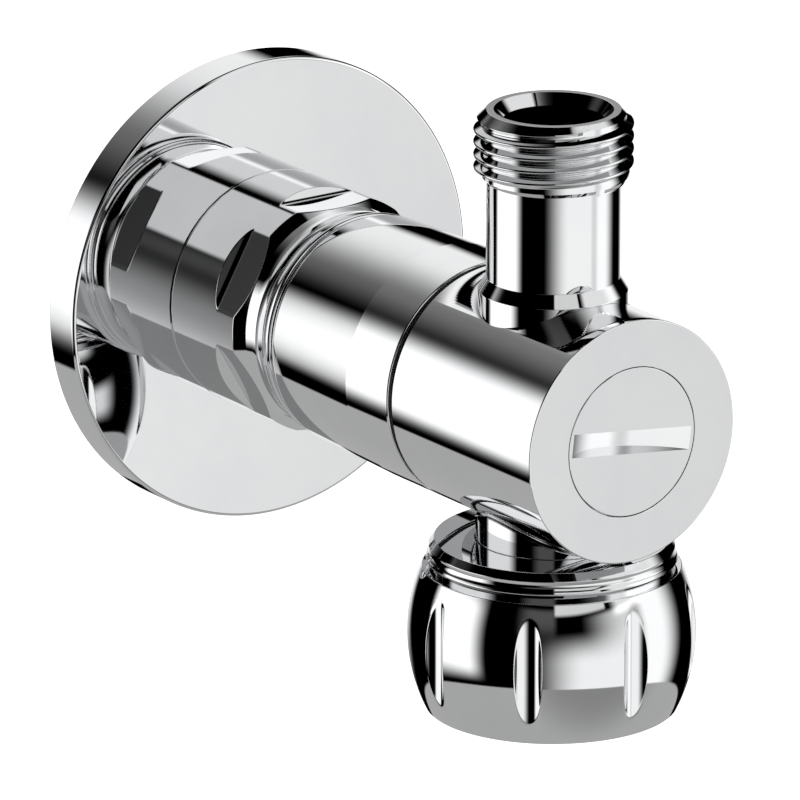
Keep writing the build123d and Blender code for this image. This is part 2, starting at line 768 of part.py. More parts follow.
def filter_mesh():
    """Fine gauze sleeve round the cage's ribs."""
    sleeve = ring_y(GAUZE_R - GAUZE_WALL, GAUZE_R, CAGE_REAR_PLATE_Y, CAGE_FRONT_PLATE_Y)
    return sleeve - strainer_window()


def filter_plug():
    """Flush slotted plug with a seal groove and a snap-in stub that carries the strainer."""
    land_r = 6.9
    stub_r = 1.8
    stub_head_r = 2.5
    stub_head_y = CAGE_FRONT_PLATE_Y + 0.15
    plug = turned_y(
        (FRONT_Y, 0),
        (FRONT_Y, PLUG_R - EDGE),
        (FRONT_Y + EDGE, PLUG_R),
        (PLUG_STEP_Y - TURNING_GAP, PLUG_R),
        (PLUG_STEP_Y - TURNING_GAP, land_r),
        (PLUG_GROOVE_FRONT_Y, land_r),
        (PLUG_GROOVE_FRONT_Y, PLUG_GROOVE_R),
        (PLUG_GROOVE_REAR_Y, PLUG_GROOVE_R),
        (PLUG_GROOVE_REAR_Y, land_r),
        (PLUG_END_Y, land_r),
        (PLUG_END_Y, stub_r),
        (stub_head_y, stub_r),
        (stub_head_y, stub_head_r),
        (stub_head_y + 0.9, stub_r),
        (stub_head_y + 0.9, 0),
    )
    cutter_y = FRONT_Y + SLOT_DEPTH - SLOT_CUTTER_R
    slot = Pos(0, cutter_y, 0) * Rot(0, -SLOT_TILT_DEG, 0) * Cylinder(SLOT_CUTTER_R, SLOT_WIDTH)
    return plug - slot


def plug_o_ring():
    """Seal in the plug's groove."""
    middle_y = (PLUG_GROOVE_FRONT_Y + PLUG_GROOVE_REAR_Y) / 2
    return o_ring_y(PLUG_GROOVE_R, STRAINER_BORE_R - 0.04, middle_y)


# ---------------------------------------------------------------- write every sub-part

PIECES = (
    inlet_connector,
    rosette,
    inlet_thread_seal,
    swivel_o_rings,
    swivel_washer,
    swivel_thrust_washer,
    swivel_snap_ring,
    rear_sleeve,
    joint_ring,
    front_body,
    outlet_spigot,
    outlet_seal_ring,
    valve_seat,
    bonnet,
    bonnet_gasket,
    plunger,
    seat_washer,
    washer_screw,
    spindle,
    spindle_o_rings,
    spindle_circlip,
    handwheel_insert,
    handwheel_screw,
    handwheel_barrel,
    handwheel_top_ring,
    handwheel_cover,
    filter_frame,
    filter_mesh,
    filter_plug,
    plug_o_ring,
)

os.makedirs("parts", exist_ok=True)
for piece in PIECES:
    save(piece.__name__, piece())
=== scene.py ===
"""Looks of a chromed angle stop valve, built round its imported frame. Metres throughout."""
import json
import math

import bpy
import numpy as np
from bpy.props import FloatProperty, FloatVectorProperty, IntProperty, PointerProperty
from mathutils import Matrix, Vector

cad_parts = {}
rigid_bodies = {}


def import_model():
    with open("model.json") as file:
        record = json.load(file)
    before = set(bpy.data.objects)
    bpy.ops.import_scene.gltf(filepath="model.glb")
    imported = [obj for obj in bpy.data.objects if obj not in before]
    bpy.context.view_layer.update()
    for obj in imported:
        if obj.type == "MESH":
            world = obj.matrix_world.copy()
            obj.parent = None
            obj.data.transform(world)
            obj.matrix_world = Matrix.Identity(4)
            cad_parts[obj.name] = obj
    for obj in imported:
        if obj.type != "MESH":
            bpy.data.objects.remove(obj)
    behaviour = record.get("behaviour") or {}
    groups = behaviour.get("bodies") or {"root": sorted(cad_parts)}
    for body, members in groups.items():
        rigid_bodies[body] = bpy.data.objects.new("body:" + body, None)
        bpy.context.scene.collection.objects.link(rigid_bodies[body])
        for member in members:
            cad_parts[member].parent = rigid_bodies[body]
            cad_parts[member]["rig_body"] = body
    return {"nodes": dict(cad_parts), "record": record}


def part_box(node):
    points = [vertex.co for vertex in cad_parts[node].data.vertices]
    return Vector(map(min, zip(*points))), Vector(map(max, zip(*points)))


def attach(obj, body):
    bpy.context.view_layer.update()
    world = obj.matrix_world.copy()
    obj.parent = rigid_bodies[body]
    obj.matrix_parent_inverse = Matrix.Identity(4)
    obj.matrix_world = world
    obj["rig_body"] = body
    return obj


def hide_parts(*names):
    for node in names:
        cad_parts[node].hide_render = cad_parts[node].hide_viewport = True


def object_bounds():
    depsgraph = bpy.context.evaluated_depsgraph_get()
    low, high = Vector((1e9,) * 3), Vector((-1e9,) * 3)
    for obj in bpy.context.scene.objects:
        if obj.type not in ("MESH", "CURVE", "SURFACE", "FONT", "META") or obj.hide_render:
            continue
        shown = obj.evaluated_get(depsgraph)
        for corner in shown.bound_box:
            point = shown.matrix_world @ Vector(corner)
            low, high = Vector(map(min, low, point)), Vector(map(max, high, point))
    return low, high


bl_info = {
    "name": "Angle stop valve",
    "version": (1, 0, 0),
    "blender": (4, 5, 0),
    "location": "3D View > Sidebar > Valve",
    "description": "Builds the visible pieces, finishes and studio of a chromed angle stop valve",
    "category": "Object",
}

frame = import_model()
CAD_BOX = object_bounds()

MOUNTS = {mount["name"]: mount for mount in frame["record"]["mounts"]}

MM = 0.001
TURN = 2 * math.pi
STEM_Y = (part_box("outlet_spigot")[0].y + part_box("outlet_spigot")[1].y) / 2
INLET_THREAD_R = MOUNTS["inlet_thread"]["dims"]["r_mm"] * MM
INLET_PILOT_R = 10.15 * MM
OUTLET_THREAD_R = MOUNTS["outlet_thread"]["dims"]["r_mm"] * MM
OUTLET_BORE_R = MOUNTS["outlet_socket"]["dims"]["r_mm"] * MM
WATERWAY_R = MOUNTS["inlet_waterway"]["dims"]["r_mm"] * MM
SWIVEL_R = 9.0 * MM
SWIVEL_BORE_R = 9.06 * MM
REAR_CHAMBER_R = 8.8 * MM
BODY_SPLIT_R = 10.7 * MM
BOSS_R = 8.0 * MM
OUTLET_SEAT_R = 7.82 * MM
OUTLET_PASSAGE_R = 3.4 * MM
WHEEL_BORE_R = 10.4 * MM
G_1_2_PITCH = 1.8143 * MM
G_3_8_PITCH = 1.3368 * MM
THREAD_DEPTH = 0.6403
EDGE_STEPS = 5


def length(label, words, default):
    """A property that holds a length in metres."""
    return FloatProperty(name=label, description=words, default=default, unit="LENGTH", precision=5)


def angle(label, words, degrees):
    """A property that holds an angle."""
    return FloatProperty(name=label, description=words, default=math.radians(degrees), subtype="ANGLE")


def share(label, words, default):
    """A property that holds a share or a strength."""
    return FloatProperty(name=label, description=words, default=default, min=0.0)


def colour(label, words, default):
    """A property that holds a colour."""
    return FloatVectorProperty(name=label, description=words, default=default, subtype="COLOR",
                               min=0.0, max=1.0)


# ------------------------------------------------------------------ settings

class ShapeSettings(bpy.types.PropertyGroup):
    """Sizes of the turned pieces that the frame's boxes don't give."""

    columns: IntProperty(name="Columns", description="Faces round a turned piece", default=256, min=48)
    edge: length("Edge", "Rounding of a crisp plated edge", 0.12 * MM)
    rosette_edge: length("Rosette edge", "Rounding of the rosette's front edge", 0.4 * MM)
    rosette_wall: length("Rosette wall", "Thickness of the hollow rosette", 1.2 * MM)
    wrench_start: length("Wrench flats start", "Where the flats' shoulder meets the collar", -12.2 * MM)
    wrench_flats: length("Across flats", "Distance between two opposite wrench flats", 24.3 * MM)
    collar_chamfer: length("Collar chamfer start", "Where the collar's front cone begins", -16.4 * MM)
    collar_end: length("Collar end", "Where the collar meets the neck", -17.5 * MM)
    collar_edge: length("Collar edge", "Rounding of the collar against the rosette", 0.25 * MM)
    neck_waist: length("Neck waist", "How far the connector's neck is hollowed", 0.42 * MM)
    neck_fillet: length("Neck fillet", "Fillet between the body and the neck below it", 0.95 * MM)
    groove_edge: length("Groove edge", "Rounding of the joint's two edges", 0.22 * MM)
    neck_radius: length("Neck radius", "Radius of the neck in front of the collar", 12.1 * MM)
    sleeve_rear_radius: length("Sleeve rear radius", "Radius at the narrow end of the rear sleeve", 12.6 * MM)
    sleeve_corner: length("Sleeve corner", "Rounding of the rear sleeve's narrow end", 1.0 * MM)
    sleeve_taper_end: length("Taper end", "Where the rear sleeve's taper stops", -37.4 * MM)
    tube_radius: length("Outlet tube radius", "Radius of the upright tube", 6.97 * MM)
    collar_top: length("Outlet collar top", "Height of the outlet's collar", 13.1 * MM)
    cone_top: length("Outlet cone top", "Height where the outlet's cone ends", 14.45 * MM)
    outlet_thread_start: length("Outlet thread start", "Height where the outlet's thread begins", 25.2 * MM)
    mouth_radius: length("Mouth radius", "Radius of the outlet's countersink", 6.2 * MM)
    mouth_depth: length("Mouth depth", "Depth of the outlet's countersink", 1.2 * MM)
    slot_width: length("Coin slot width", "Width of the slot in the plug", 2.5 * MM)
    slot_depth: length("Coin slot depth", "Depth of the slot at its middle", 1.5 * MM)
    slot_radius: length("Coin slot radius", "Radius of the slot's curved floor", 19.5 * MM)
    slot_tilt: angle("Coin slot tilt", "Turn of the slot from level", -6.8)
    flutes: IntProperty(name="Flutes", description="Upright flutes round the handwheel", default=8, min=3)
    flute_radius: length("Flute radius", "Radius of the cutter of a flute", 1.7 * MM)
    flute_floor: length("Flute floor", "Distance of a flute's floor from the handwheel's axis", 14.17 * MM)
    waist_radius: length("Waist radius", "Largest radius of the handwheel", 15.1 * MM)
    waist_height: length("Waist height", "Height of the handwheel's largest radius", -24.4 * MM)
    barrel_top_radius: length("Barrel top radius", "Radius of the barrel's upper edge", 13.6 * MM)
    barrel_end_radius: length("Barrel end radius", "Radius of the barrel's lower edge", 13.2 * MM)


class FinishSettings(bpy.types.PropertyGroup):
    """Colours of the finishes."""

    chrome: colour("Chrome", "Plating in open places", (0.82, 0.824, 0.83))
    chrome_shade: colour("Chrome shade", "Plating where it is slightly thicker", (0.785, 0.79, 0.8))
    chrome_haze: share("Chrome haze", "Least roughness of the plating", 0.018)
    brass: colour("Brass", "Machined brass", (0.83, 0.66, 0.36))
    brass_dark: colour("Brass tarnish", "Brass that has darkened", (0.55, 0.39, 0.18))
    steel: colour("Steel", "Stainless steel", (0.66, 0.66, 0.65))
    steel_dark: colour("Steel shade", "Stainless steel in its fine grooves", (0.4, 0.4, 0.41))
    rubber: colour("Rubber", "Seal rubber", (0.018, 0.018, 0.019))
    polymer: colour("Polymer", "Natural moulded polymer", (0.8, 0.79, 0.75))
    tape_white: colour("White seal", "Thread seal", (0.88, 0.88, 0.86))
    fibre: colour("Fibre", "Fibre washer", (0.36, 0.1, 0.06))


class StudioSettings(bpy.types.PropertyGroup):
    """Camera, floor and soft lights."""

    azimuth: angle("Camera azimuth", "Where the camera stands round the valve", -34.96)
    elevation: angle("Camera elevation", "How high the camera stands", 17.73)
    distance: length("Camera distance", "From the camera to its aim point", 1.1667)
    lens: FloatProperty(name="Focal length", description="Camera lens in millimetres", default=495.1, min=1.0)
    aim_forward: length("Aim shift", "Aim point from the box's middle, away from the wall", -0.47 * MM)
    aim_drop: length("Aim drop", "Aim point below the box's middle", 6.37 * MM)
    floor_drop: length("Floor drop", "Floor below the valve's lowest point", 0.45)
    floor: colour("Floor", "Pale floor", (0.94, 0.94, 0.94))
    background: share("Background", "Brightness of the studio behind the floor", 1.0)
    ground: share("Ground tone", "Brightness of the ground in reflections", 0.45)
    horizon: angle("Horizon", "Where the ground ends in reflections", -28.5)
    lamps: share("Soft boxes", "Strength of all the soft boxes", 1.0)


# ------------------------------------------------------------------ turned meshes

class Axle:
    """A turning axis: gives points and directions from station, radius and angle."""

    def __init__(self, along, foot=0.0):
        self.along = along
        self.foot = foot

    def radial(self, angles):
        """Unit directions away from the axis."""
        if self.along == "Y":
            return np.stack([np.sin(angles), np.zeros_like(angles), np.cos(angles)], axis=-1)
        return np.stack([np.sin(angles), -np.cos(angles), np.zeros_like(angles)], axis=-1)

    def tangent(self, angles):
        """Unit directions round the axis."""
        return self.radial(angles + math.pi / 2)

    @property
    def line(self):
        """Unit direction along the axis."""
        return np.array([0.0, 1.0, 0.0]) if self.along == "Y" else np.array([0.0, 0.0, 1.0])

    def points(self, stations, radii, angles):
        """Points in the part's frame."""
        offset = np.array([0.0, self.foot, 0.0])
        stations = np.broadcast_to(stations, angles.shape)
        radii = np.broadcast_to(radii, angles.shape)
        return self.radial(angles) * radii[..., None] + stations[..., None] * self.line + offset


MAIN = Axle("Y")
STEM = Axle("Z", STEM_Y)


class Skin:
    """Rings of points joined by bands of faces. Every band carries its own exact normals."""

    def __init__(self):
        self.points = []
        self.faces = []
        self.normals = []

    def ring(self, points):
        """Adds points and returns their numbers."""
        first = len(self.points)
        self.points.extend(points.tolist())
        return np.arange(first, first + len(points))

    def strip(self, row_a, row_b, normals_a, normals_b, closed=True):
        """Joins two rows of equal count by quads, or by triangles where a row is one repeated point."""
        if closed:
            row_a, row_b = np.append(row_a, row_a[0]), np.append(row_b, row_b[0])
            normals_a = np.vstack([normals_a, normals_a[:1]])
            normals_b = np.vstack([normals_b, normals_b[:1]])
        quads = np.stack([row_a[:-1], row_a[1:], row_b[1:], row_b[:-1]], axis=1)
        normals = np.stack([normals_a[:-1], normals_a[1:], normals_b[1:], normals_b[:-1]], axis=1)
        if self.faces_inwards(quads, normals):
            quads, normals = quads[:, ::-1], normals[:, ::-1]
        for quad, around in zip(quads.tolist(), normals):
            keep = [k for k in range(4) if quad[k] != quad[k - 1]]
            if len(keep) > 2:
                self.faces.append([quad[k] for k in keep])
                self.normals.extend(around[keep].tolist())

    def faces_inwards(self, quads, normals):
        """True if the quads' winding disagrees with their normals."""
        corners = np.array([[self.points[k] for k in quad] for quad in quads[:: max(1, len(quads) // 8)]])
        wanted = normals[:: max(1, len(quads) // 8)].sum(axis=1)
        cross = np.cross(corners[:, 2] - corners[:, 0], corners[:, 3] - corners[:, 1])
        return float((cross * wanted).sum()) < 0

    def build(self, name):
        """Makes the mesh object."""
        mesh = bpy.data.meshes.new(name)
        mesh.from_pydata(self.points, [], self.faces)
        mesh.polygons.foreach_set("use_smooth", [True] * len(mesh.polygons))
        mesh.normals_split_custom_set(self.normals)
        piece = bpy.data.objects.new(name, mesh)
        bpy.context.scene.collection.objects.link(piece)
        return piece


def rounded_outline(corners):
    """Rounds a closed outline of (station, radius[, rounding]) corners.

    Returns (station, radius, normal before, normal after) for each point; a normal is (along, outwards).
    """
    spots = [np.array(corner[:2], float) for corner in corners]
    roundings = [corner[2] if len(corner) > 2 else 0.0 for corner in corners]
    count = len(spots)
    area = sum(spots[k - 1][0] * spots[k][1] - spots[k][0] * spots[k - 1][1] for k in range(count))
    side = 1.0 if area > 0 else -1.0

    def normal_of(direction):
        return side * np.array([direction[1], -direction[0]])

    outline = []
    for k in range(count):
        before = spots[k] - spots[k - 1]
        after = spots[(k + 1) % count] - spots[k]
        before, after = before / np.linalg.norm(before), after / np.linalg.norm(after)
        normal_in, normal_out = normal_of(before), normal_of(after)
        turn = math.atan2(before[0] * after[1] - before[1] * after[0], float(before @ after))
        if roundings[k] <= 0 or abs(turn) < 1e-3:
            outline.append((*spots[k], normal_in, normal_out))
            continue
        reach = roundings[k] * math.tan(abs(turn) / 2)
        start = spots[k] - before * reach
        bulge = side if turn * side > 0 else -side
        centre = start - normal_in * roundings[k] * (bulge * side)
        for step in range(EDGE_STEPS + 1):
            swing = turn * step / EDGE_STEPS
            c, s = math.cos(swing), math.sin(swing)
            normal = np.array([normal_in[0] * c - normal_in[1] * s, normal_in[0] * s + normal_in[1] * c])
            spot = centre + normal * roundings[k] * (bulge * side)
            outline.append((*spot, normal, normal))
    return outline


def even_angles(columns):
    """Equal steps round a turn."""
    return np.linspace(0, TURN, columns, endpoint=False)


def turned(skin, axle, corners, columns):
    """Adds a closed turned solid with rounded corners to a skin."""
    angles = even_angles(columns)
    radial = axle.radial(angles)
    rows = []
    for station, radius, before, after in rounded_outline(corners):
        if radius < 1e-7:
            pole = skin.ring(axle.points(np.array([station]), np.array([0.0]), np.array([0.0])))
            row = np.repeat(pole, columns)
        else:
            row = skin.ring(axle.points(station, radius, angles))
        rows.append((row, radius, before, after))
    for k, (row, radius, before, _) in enumerate(rows):
        last_row, last_radius, _, last_after = rows[k - 1]
        if radius < 1e-7 and last_radius < 1e-7:
            continue
        normals_a = radial * last_after[1] + axle.line * last_after[0]
        normals_b = radial * before[1] + axle.line * before[0]
        skin.strip(last_row, row, normals_a, normals_b)


def lathe(name, axle, corners, columns):
    """A turned piece as an object."""
    skin = Skin()
    turned(skin, axle, corners, columns)
    return skin.build(name)


def soft_least(a, b, blend):
    """The smaller of two lengths, with a small rounded change from one to the other."""
    h = np.clip(0.5 + 0.5 * (b - a) / blend, 0, 1)
    return b + (a - b) * h - blend * h * (1 - h)


def shaped_band(skin, axle, stations, radius_of, angles_of):
    """Adds a wall whose radius changes with station and angle, and returns its first and last rows."""
    nudge = 0.002 * MM
    rows = []
    for station in stations:
        angles = angles_of(station)
        radii = radius_of(station, angles)
        along = (radius_of(station + nudge, angles) - radius_of(station - nudge, angles)) / (2 * nudge)
        turn = 1e-4
        around = (radius_of(station, angles + turn) - radius_of(station, angles - turn)) / (2 * turn)
        normals = axle.radial(angles) - axle.line * along[:, None]
        normals -= axle.tangent(angles) * (around / radii)[:, None]
        normals /= np.linalg.norm(normals, axis=1)[:, None]
        rows.append((skin.ring(axle.points(station, radii, angles)), normals))
    for (row_a, normals_a), (row_b, normals_b) in zip(rows, rows[1:]):
        skin.strip(row_a, row_b, normals_a, normals_b)
    return rows[0][0], rows[-1][0]


def whitworth_section(pitch):
    """One rounded thread ridge: (offset, height, normal along, normal outwards) from root to root."""
    flank = math.radians(27.5)
    rounding = 0.1373 * pitch
    depth = THREAD_DEPTH * pitch
    swing = math.pi / 2 - flank
    section = []
    for step in range(5):
        a = swing * step / 4
        section.append((-pitch / 2 + rounding * math.sin(a), rounding * (1 - math.cos(a)),
                        -math.sin(a), math.cos(a)))
    for step in range(9):
        a = -swing + 2 * swing * step / 8
        section.append((rounding * math.sin(a), depth - rounding * (1 - math.cos(a)),
                        math.sin(a), math.cos(a)))
    for step in range(5):
        a = swing * (1 - step / 4)
        section.append((pitch / 2 - rounding * math.sin(a), rounding * (1 - math.cos(a)),
                        math.sin(a), math.cos(a)))
    return section


def thread_ridge(skin, axle, start, end, last, major, pitch, columns, ceiling):
    """Adds a right-handed helical ridge from start to end, cut by ceiling(station) and the plane at last."""
    root = major - THREAD_DEPTH * pitch
    section = whitworth_section(pitch)
    turns = (end - start) / pitch - 1
    steps = int(turns * columns)
    travel = np.arange(steps + 1) / columns
    angles = travel * TURN * (1 if axle.along == "Z" else -1)
    fade = np.clip(np.minimum(travel, turns - travel) / 0.3, 0.02, 1)
    rows = []
    for offset, height, along, outwards in section:
        stations = np.minimum(start + pitch / 2 + travel * pitch + offset, last)
        radii = root - 0.01 * MM + (height + 0.01 * MM) * fade
        limit = ceiling(stations)
        cut = radii > limit
        radii = np.minimum(radii, limit)
        normals = axle.radial(angles) * outwards + axle.line * along * fade[:, None]
        slope = (ceiling(stations + MM) - ceiling(stations)) / MM
        cone = axle.radial(angles) - axle.line * slope[:, None]
        normals = np.where(cut[:, None], cone, normals)
        normals /= np.linalg.norm(normals, axis=1)[:, None]
        rows.append((skin.ring(axle.points(stations, radii, angles)), normals))
    for (row_a, normals_a), (row_b, normals_b) in zip(rows, rows[1:]):
        skin.strip(row_a, row_b, normals_a, normals_b, closed=False)


def cut_with(piece, tool, operation):
    """Applies an exact boolean of the tool to the piece and removes the tool."""
    step = piece.modifiers.new("cut", "BOOLEAN")
    step.operation = operation
    step.solver = "EXACT"
    step.object = tool
    bpy.context.view_layer.update()
    result = bpy.data.meshes.new_from_object(piece.evaluated_get(bpy.context.evaluated_depsgraph_get()))
    if not result.polygons:
        raise RuntimeError(f"the cut of {piece.name} left nothing")
    piece.modifiers.clear()
    old = piece.data
    piece.data = result
    bpy.data.meshes.remove(old)
    bpy.data.objects.remove(tool)


def true_normals(piece, axle_of):
    """Gives every face corner the normal of the turned surface it lies on; a face with no axle stays flat."""
    mesh = piece.data
    normals = []
    for face in mesh.polygons:
        axle = axle_of(face)
        flat = np.array(face.normal)
        if axle is None:
            normals.extend([flat] * face.loop_total)
            continue
        foot = np.array([0.0, axle.foot, 0.0])
        outwards = np.array(face.center) - foot
        outwards -= axle.line * (outwards @ axle.line)
        size = np.linalg.norm(outwards)
        lift = float(flat @ outwards) / size if size > 1e-7 else 0.0
        rise = float(flat @ axle.line)
        for vertex in face.vertices:
            arm = np.array(mesh.vertices[vertex].co) - foot
            arm -= axle.line * (arm @ axle.line)
            reach = np.linalg.norm(arm)
            tip = arm / reach * lift + axle.line * rise if reach > 1e-7 else flat
            normals.append(tip / max(np.linalg.norm(tip), 1e-9))
    mesh.polygons.foreach_set("use_smooth", [True] * len(mesh.polygons))
    mesh.normals_split_custom_set([tuple(n) for n in normals])


def stand_for(piece, node, material):
    """The piece takes the place, body and finish of its frame node."""
    piece.data.materials.clear()
    piece.data.materials.append(material)
    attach(piece, frame["nodes"][node]["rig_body"])
    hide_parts(node)


# ------------------------------------------------------------------ shader effects

def add_node(tree, kind, **values):
    """Adds a shader node, sets its properties and lays it out in rows of eight."""
    count = len(tree.nodes)
    node = tree.nodes.new(kind)
    node.location = (count % 8 * 220, count // 8 * -320)
    for key, value in values.items():
        setattr(node, key, value)
    return node


def feed(tree, socket, source):
    """Links a socket into another, or sets a plain value on it."""
    if isinstance(source, bpy.types.NodeSocket):
        tree.links.new(source, socket)
    else:
        socket.default_value = source


def new_group(name, inputs, outputs):
    """A shader group with named sockets: inputs are (name, kind, default), outputs (name, kind)."""
    tree = bpy.data.node_groups.new(name, "ShaderNodeTree")
    for label, kind, default in inputs:
        socket = tree.interface.new_socket(name=label, in_out="INPUT", socket_type="NodeSocket" + kind)
        socket.default_value = default
    for label, kind in outputs:
        tree.interface.new_socket(name=label, in_out="OUTPUT", socket_type="NodeSocket" + kind)
    return tree, add_node(tree, "NodeGroupInput").outputs, add_node(tree, "NodeGroupOutput").inputs


def spread_noise(tree, vector, scale, detail=3.0):
    """A noise texture on a vector socket."""
    noise = add_node(tree, "ShaderNodeTexNoise")
    for label, source in (("Vector", vector), ("Scale", scale), ("Detail", detail)):
        feed(tree, noise.inputs[label], source)
    return noise.outputs["Fac"]


def mapped(tree, value, low, high, to_low, to_high):
    """Maps a value's range smoothly."""
    node = add_node(tree, "ShaderNodeMapRange", interpolation_type="SMOOTHSTEP")
    sources = {"Value": value, "From Min": low, "From Max": high, "To Min": to_low, "To Max": to_high}
    for label, source in sources.items():
        feed(tree, node.inputs[label], source)
    return node.outputs["Result"]


def math_node(tree, operation, *sides):
    """A math node on numbers or sockets."""
    node = add_node(tree, "ShaderNodeMath", operation=operation)
    for socket, side in zip(node.inputs, sides):
        feed(tree, socket, side)
    return node.outputs[0]


def mix_colours(tree, part, first, second, blend="MIX"):
    """Mixes two colours by a part from 0 to 1."""
    node = add_node(tree, "ShaderNodeMix", data_type="RGBA", blend_type=blend)
    for label, source in (("Factor", part), ("A", first), ("B", second)):
        feed(tree, node.inputs[label], source)
    return node.outputs["Result"]


VECTOR = ("Vector", "Vector", (0, 0, 0))


def tone_group():
    """Slow change between two colours and between two roughnesses."""
    tree, give, take = new_group(
        "Uneven tone",
        [
            VECTOR,
            ("Light Colour", "Color", (1, 1, 1, 1)),
            ("Dark Colour", "Color", (0.5, 0.5, 0.5, 1)),
            ("Patch Scale", "Float", 120.0),
            ("Least Roughness", "Float", 0.1),
            ("Most Roughness", "Float", 0.2),
        ],
        [("Colour", "Color"), ("Roughness", "Float")],
    )
    patches = spread_noise(tree, give["Vector"], give["Patch Scale"], 4.0)
    fine = spread_noise(tree, give["Vector"], math_node(tree, "MULTIPLY", give["Patch Scale"], 6.0), 2.0)
    blend = math_node(tree, "MULTIPLY_ADD", fine, 0.35, patches)
    amount = mapped(tree, blend, 0.45, 0.95, 0.0, 1.0)
    feed(tree, take["Colour"], mix_colours(tree, amount, give["Light Colour"], give["Dark Colour"]))
    dull = mapped(tree, blend, 0.4, 1.0, give["Least Roughness"], give["Most Roughness"])
    feed(tree, take["Roughness"], dull)
    return tree


def turning_group():
    """Fine rings left by a lathe tool round the middle of the vector's X and Y, with a mask of the groove
    bottoms for painted shade.
    """
    tree, give, take = new_group(
        "Turning marks",
        [VECTOR, ("Rings Per Metre", "Float", 9000.0), ("Unevenness", "Float", 0.4)],
        [("Height", "Float"), ("Groove Shade", "Float")],
    )
    parts = add_node(tree, "ShaderNodeSeparateXYZ")
    feed(tree, parts.inputs[0], give["Vector"])
    square = math_node(tree, "MULTIPLY", parts.outputs["X"], parts.outputs["X"])
    both = math_node(tree, "MULTIPLY_ADD", parts.outputs["Y"], parts.outputs["Y"], square)
    reach = math_node(tree, "ADD", math_node(tree, "SQRT", both), parts.outputs["Z"])
    wobble = math_node(tree, "MULTIPLY", spread_noise(tree, give["Vector"], 300.0), give["Unevenness"])
    wave = math_node(tree, "SINE", math_node(tree, "MULTIPLY_ADD", reach, give["Rings Per Metre"], wobble))
    feed(tree, take["Height"], wave)
    # mask of the groove bottoms, where painted shade darkens the colour
    feed(tree, take["Groove Shade"], mapped(tree, wave, -1.0, 0.6, 1.0, 0.0))
    return tree


def grain_group():
    """Fine grain of moulded or pressed material."""
    tree, give, take = new_group(
        "Moulded grain",
        [VECTOR, ("Grain Scale", "Float", 2500.0)],
        [("Height", "Float")],
    )
    fine = spread_noise(tree, give["Vector"], give["Grain Scale"], 2.0)
    coarse = spread_noise(tree, give["Vector"], math_node(tree, "MULTIPLY", give["Grain Scale"], 0.12), 3.0)
    feed(tree, take["Height"], math_node(tree, "MULTIPLY_ADD", coarse, 0.8, fine))
    return tree


def handling_group():
    """Faint smears from handling and cleaning, stretched along one direction."""
    tree, give, take = new_group(
        "Handling smears",
        [VECTOR, ("Clean Roughness", "Float", 0.02), ("Smear Roughness", "Float", 0.06)],
        [("Roughness", "Float")],
    )
    stretch = add_node(tree, "ShaderNodeMapping")
    feed(tree, stretch.inputs["Vector"], give["Vector"])
    feed(tree, stretch.inputs["Scale"], (1.0, 0.35, 2.2))
    feed(tree, stretch.inputs["Rotation"], (0.4, 0.2, 0.7))
    mask = mapped(tree, spread_noise(tree, stretch.outputs["Vector"], 90.0, 5.0), 0.5, 0.78, 0.0, 1.0)
    dull = mapped(tree, mask, 0.0, 1.0, give["Clean Roughness"], give["Smear Roughness"])
    feed(tree, take["Roughness"], dull)
    return tree


EFFECTS = {
    "Uneven tone": tone_group,
    "Turning marks": turning_group,
    "Moulded grain": grain_group,
    "Handling smears": handling_group,
}


class Finish:
    """A material with its Principled shader and object coordinates; fixed values sit on the shader itself."""

    def __init__(self, name, metallic, **fixed):
        self.material = bpy.data.materials.new(name)
        self.material.use_nodes = True
        self.tree = self.material.node_tree
        self.shader = self.tree.nodes["Principled BSDF"].inputs
        for key, value in fixed.items():
            self.shader[key.replace("_", " ")].default_value = value
        self.shader["Metallic"].default_value = metallic
        self.coordinates = add_node(self.tree, "ShaderNodeTexCoord").outputs["Object"]

    def effect(self, name, vector=None, **values):
        """Places a shader group, made on first use, with its own values."""
        group = bpy.data.node_groups.get(name) or EFFECTS[name]()
        node = add_node(self.tree, "ShaderNodeGroup", node_tree=group)
        feed(self.tree, node.inputs["Vector"], self.coordinates if vector is None else vector)
        for key, value in values.items():
            node.inputs[key.replace("_", " ")].default_value = value
        return node.outputs

    def tone(self, light, dark, patches, **roughness):
        """Uneven colour and roughness, linked to the shader."""
        tone = self.effect("Uneven tone", Light_Colour=opaque(light), Dark_Colour=opaque(dark),
                           Patch_Scale=patches, **roughness)
        feed(self.tree, self.shader["Base Color"], tone["Colour"])
        feed(self.tree, self.shader["Roughness"], tone["Roughness"])
        return tone["Colour"]

    def turning(self, axle, rings, unevenness):
        """Lathe rings round an axle."""
        turn = add_node(self.tree, "ShaderNodeMapping", vector_type="POINT")
        tilt = math.pi / 2 if axle.along == "Y" else 0.0
        feed(self.tree, turn.inputs["Vector"], self.coordinates)
        feed(self.tree, turn.inputs["Location"], (0.0, -axle.foot, 0.0))
        feed(self.tree, turn.inputs["Rotation"], (tilt, 0.0, 0.0))
        return self.effect("Turning marks", turn.outputs["Vector"], Rings_Per_Metre=rings,
                           Unevenness=unevenness)

    def bump(self, height, depth):
        """Feeds a height into the shader's normal."""
        node = add_node(self.tree, "ShaderNodeBump")
        for label, source in (("Strength", 1.0), ("Distance", depth), ("Height", height)):
            feed(self.tree, node.inputs[label], source)
        feed(self.tree, self.shader["Normal"], node.outputs["Normal"])


def opaque(rgb):
    """A colour setting as a socket value."""
    return (*rgb, 1.0)


def chrome_finish(name, look, axle):
    """Mirror chrome plate over a polished turning: uneven tone, faint smears and faint turning rings."""
    finish = Finish(name, 1.0)
    finish.tone(look.chrome, look.chrome_shade, 70.0)
    smears = finish.effect("Handling smears", Clean_Roughness=look.chrome_haze,
                           Smear_Roughness=look.chrome_haze * 2.2)
    feed(finish.tree, finish.shader["Roughness"], smears["Roughness"])
    finish.bump(finish.turning(axle, 7000.0, 2.0)["Height"], 2e-9)
    return finish.material


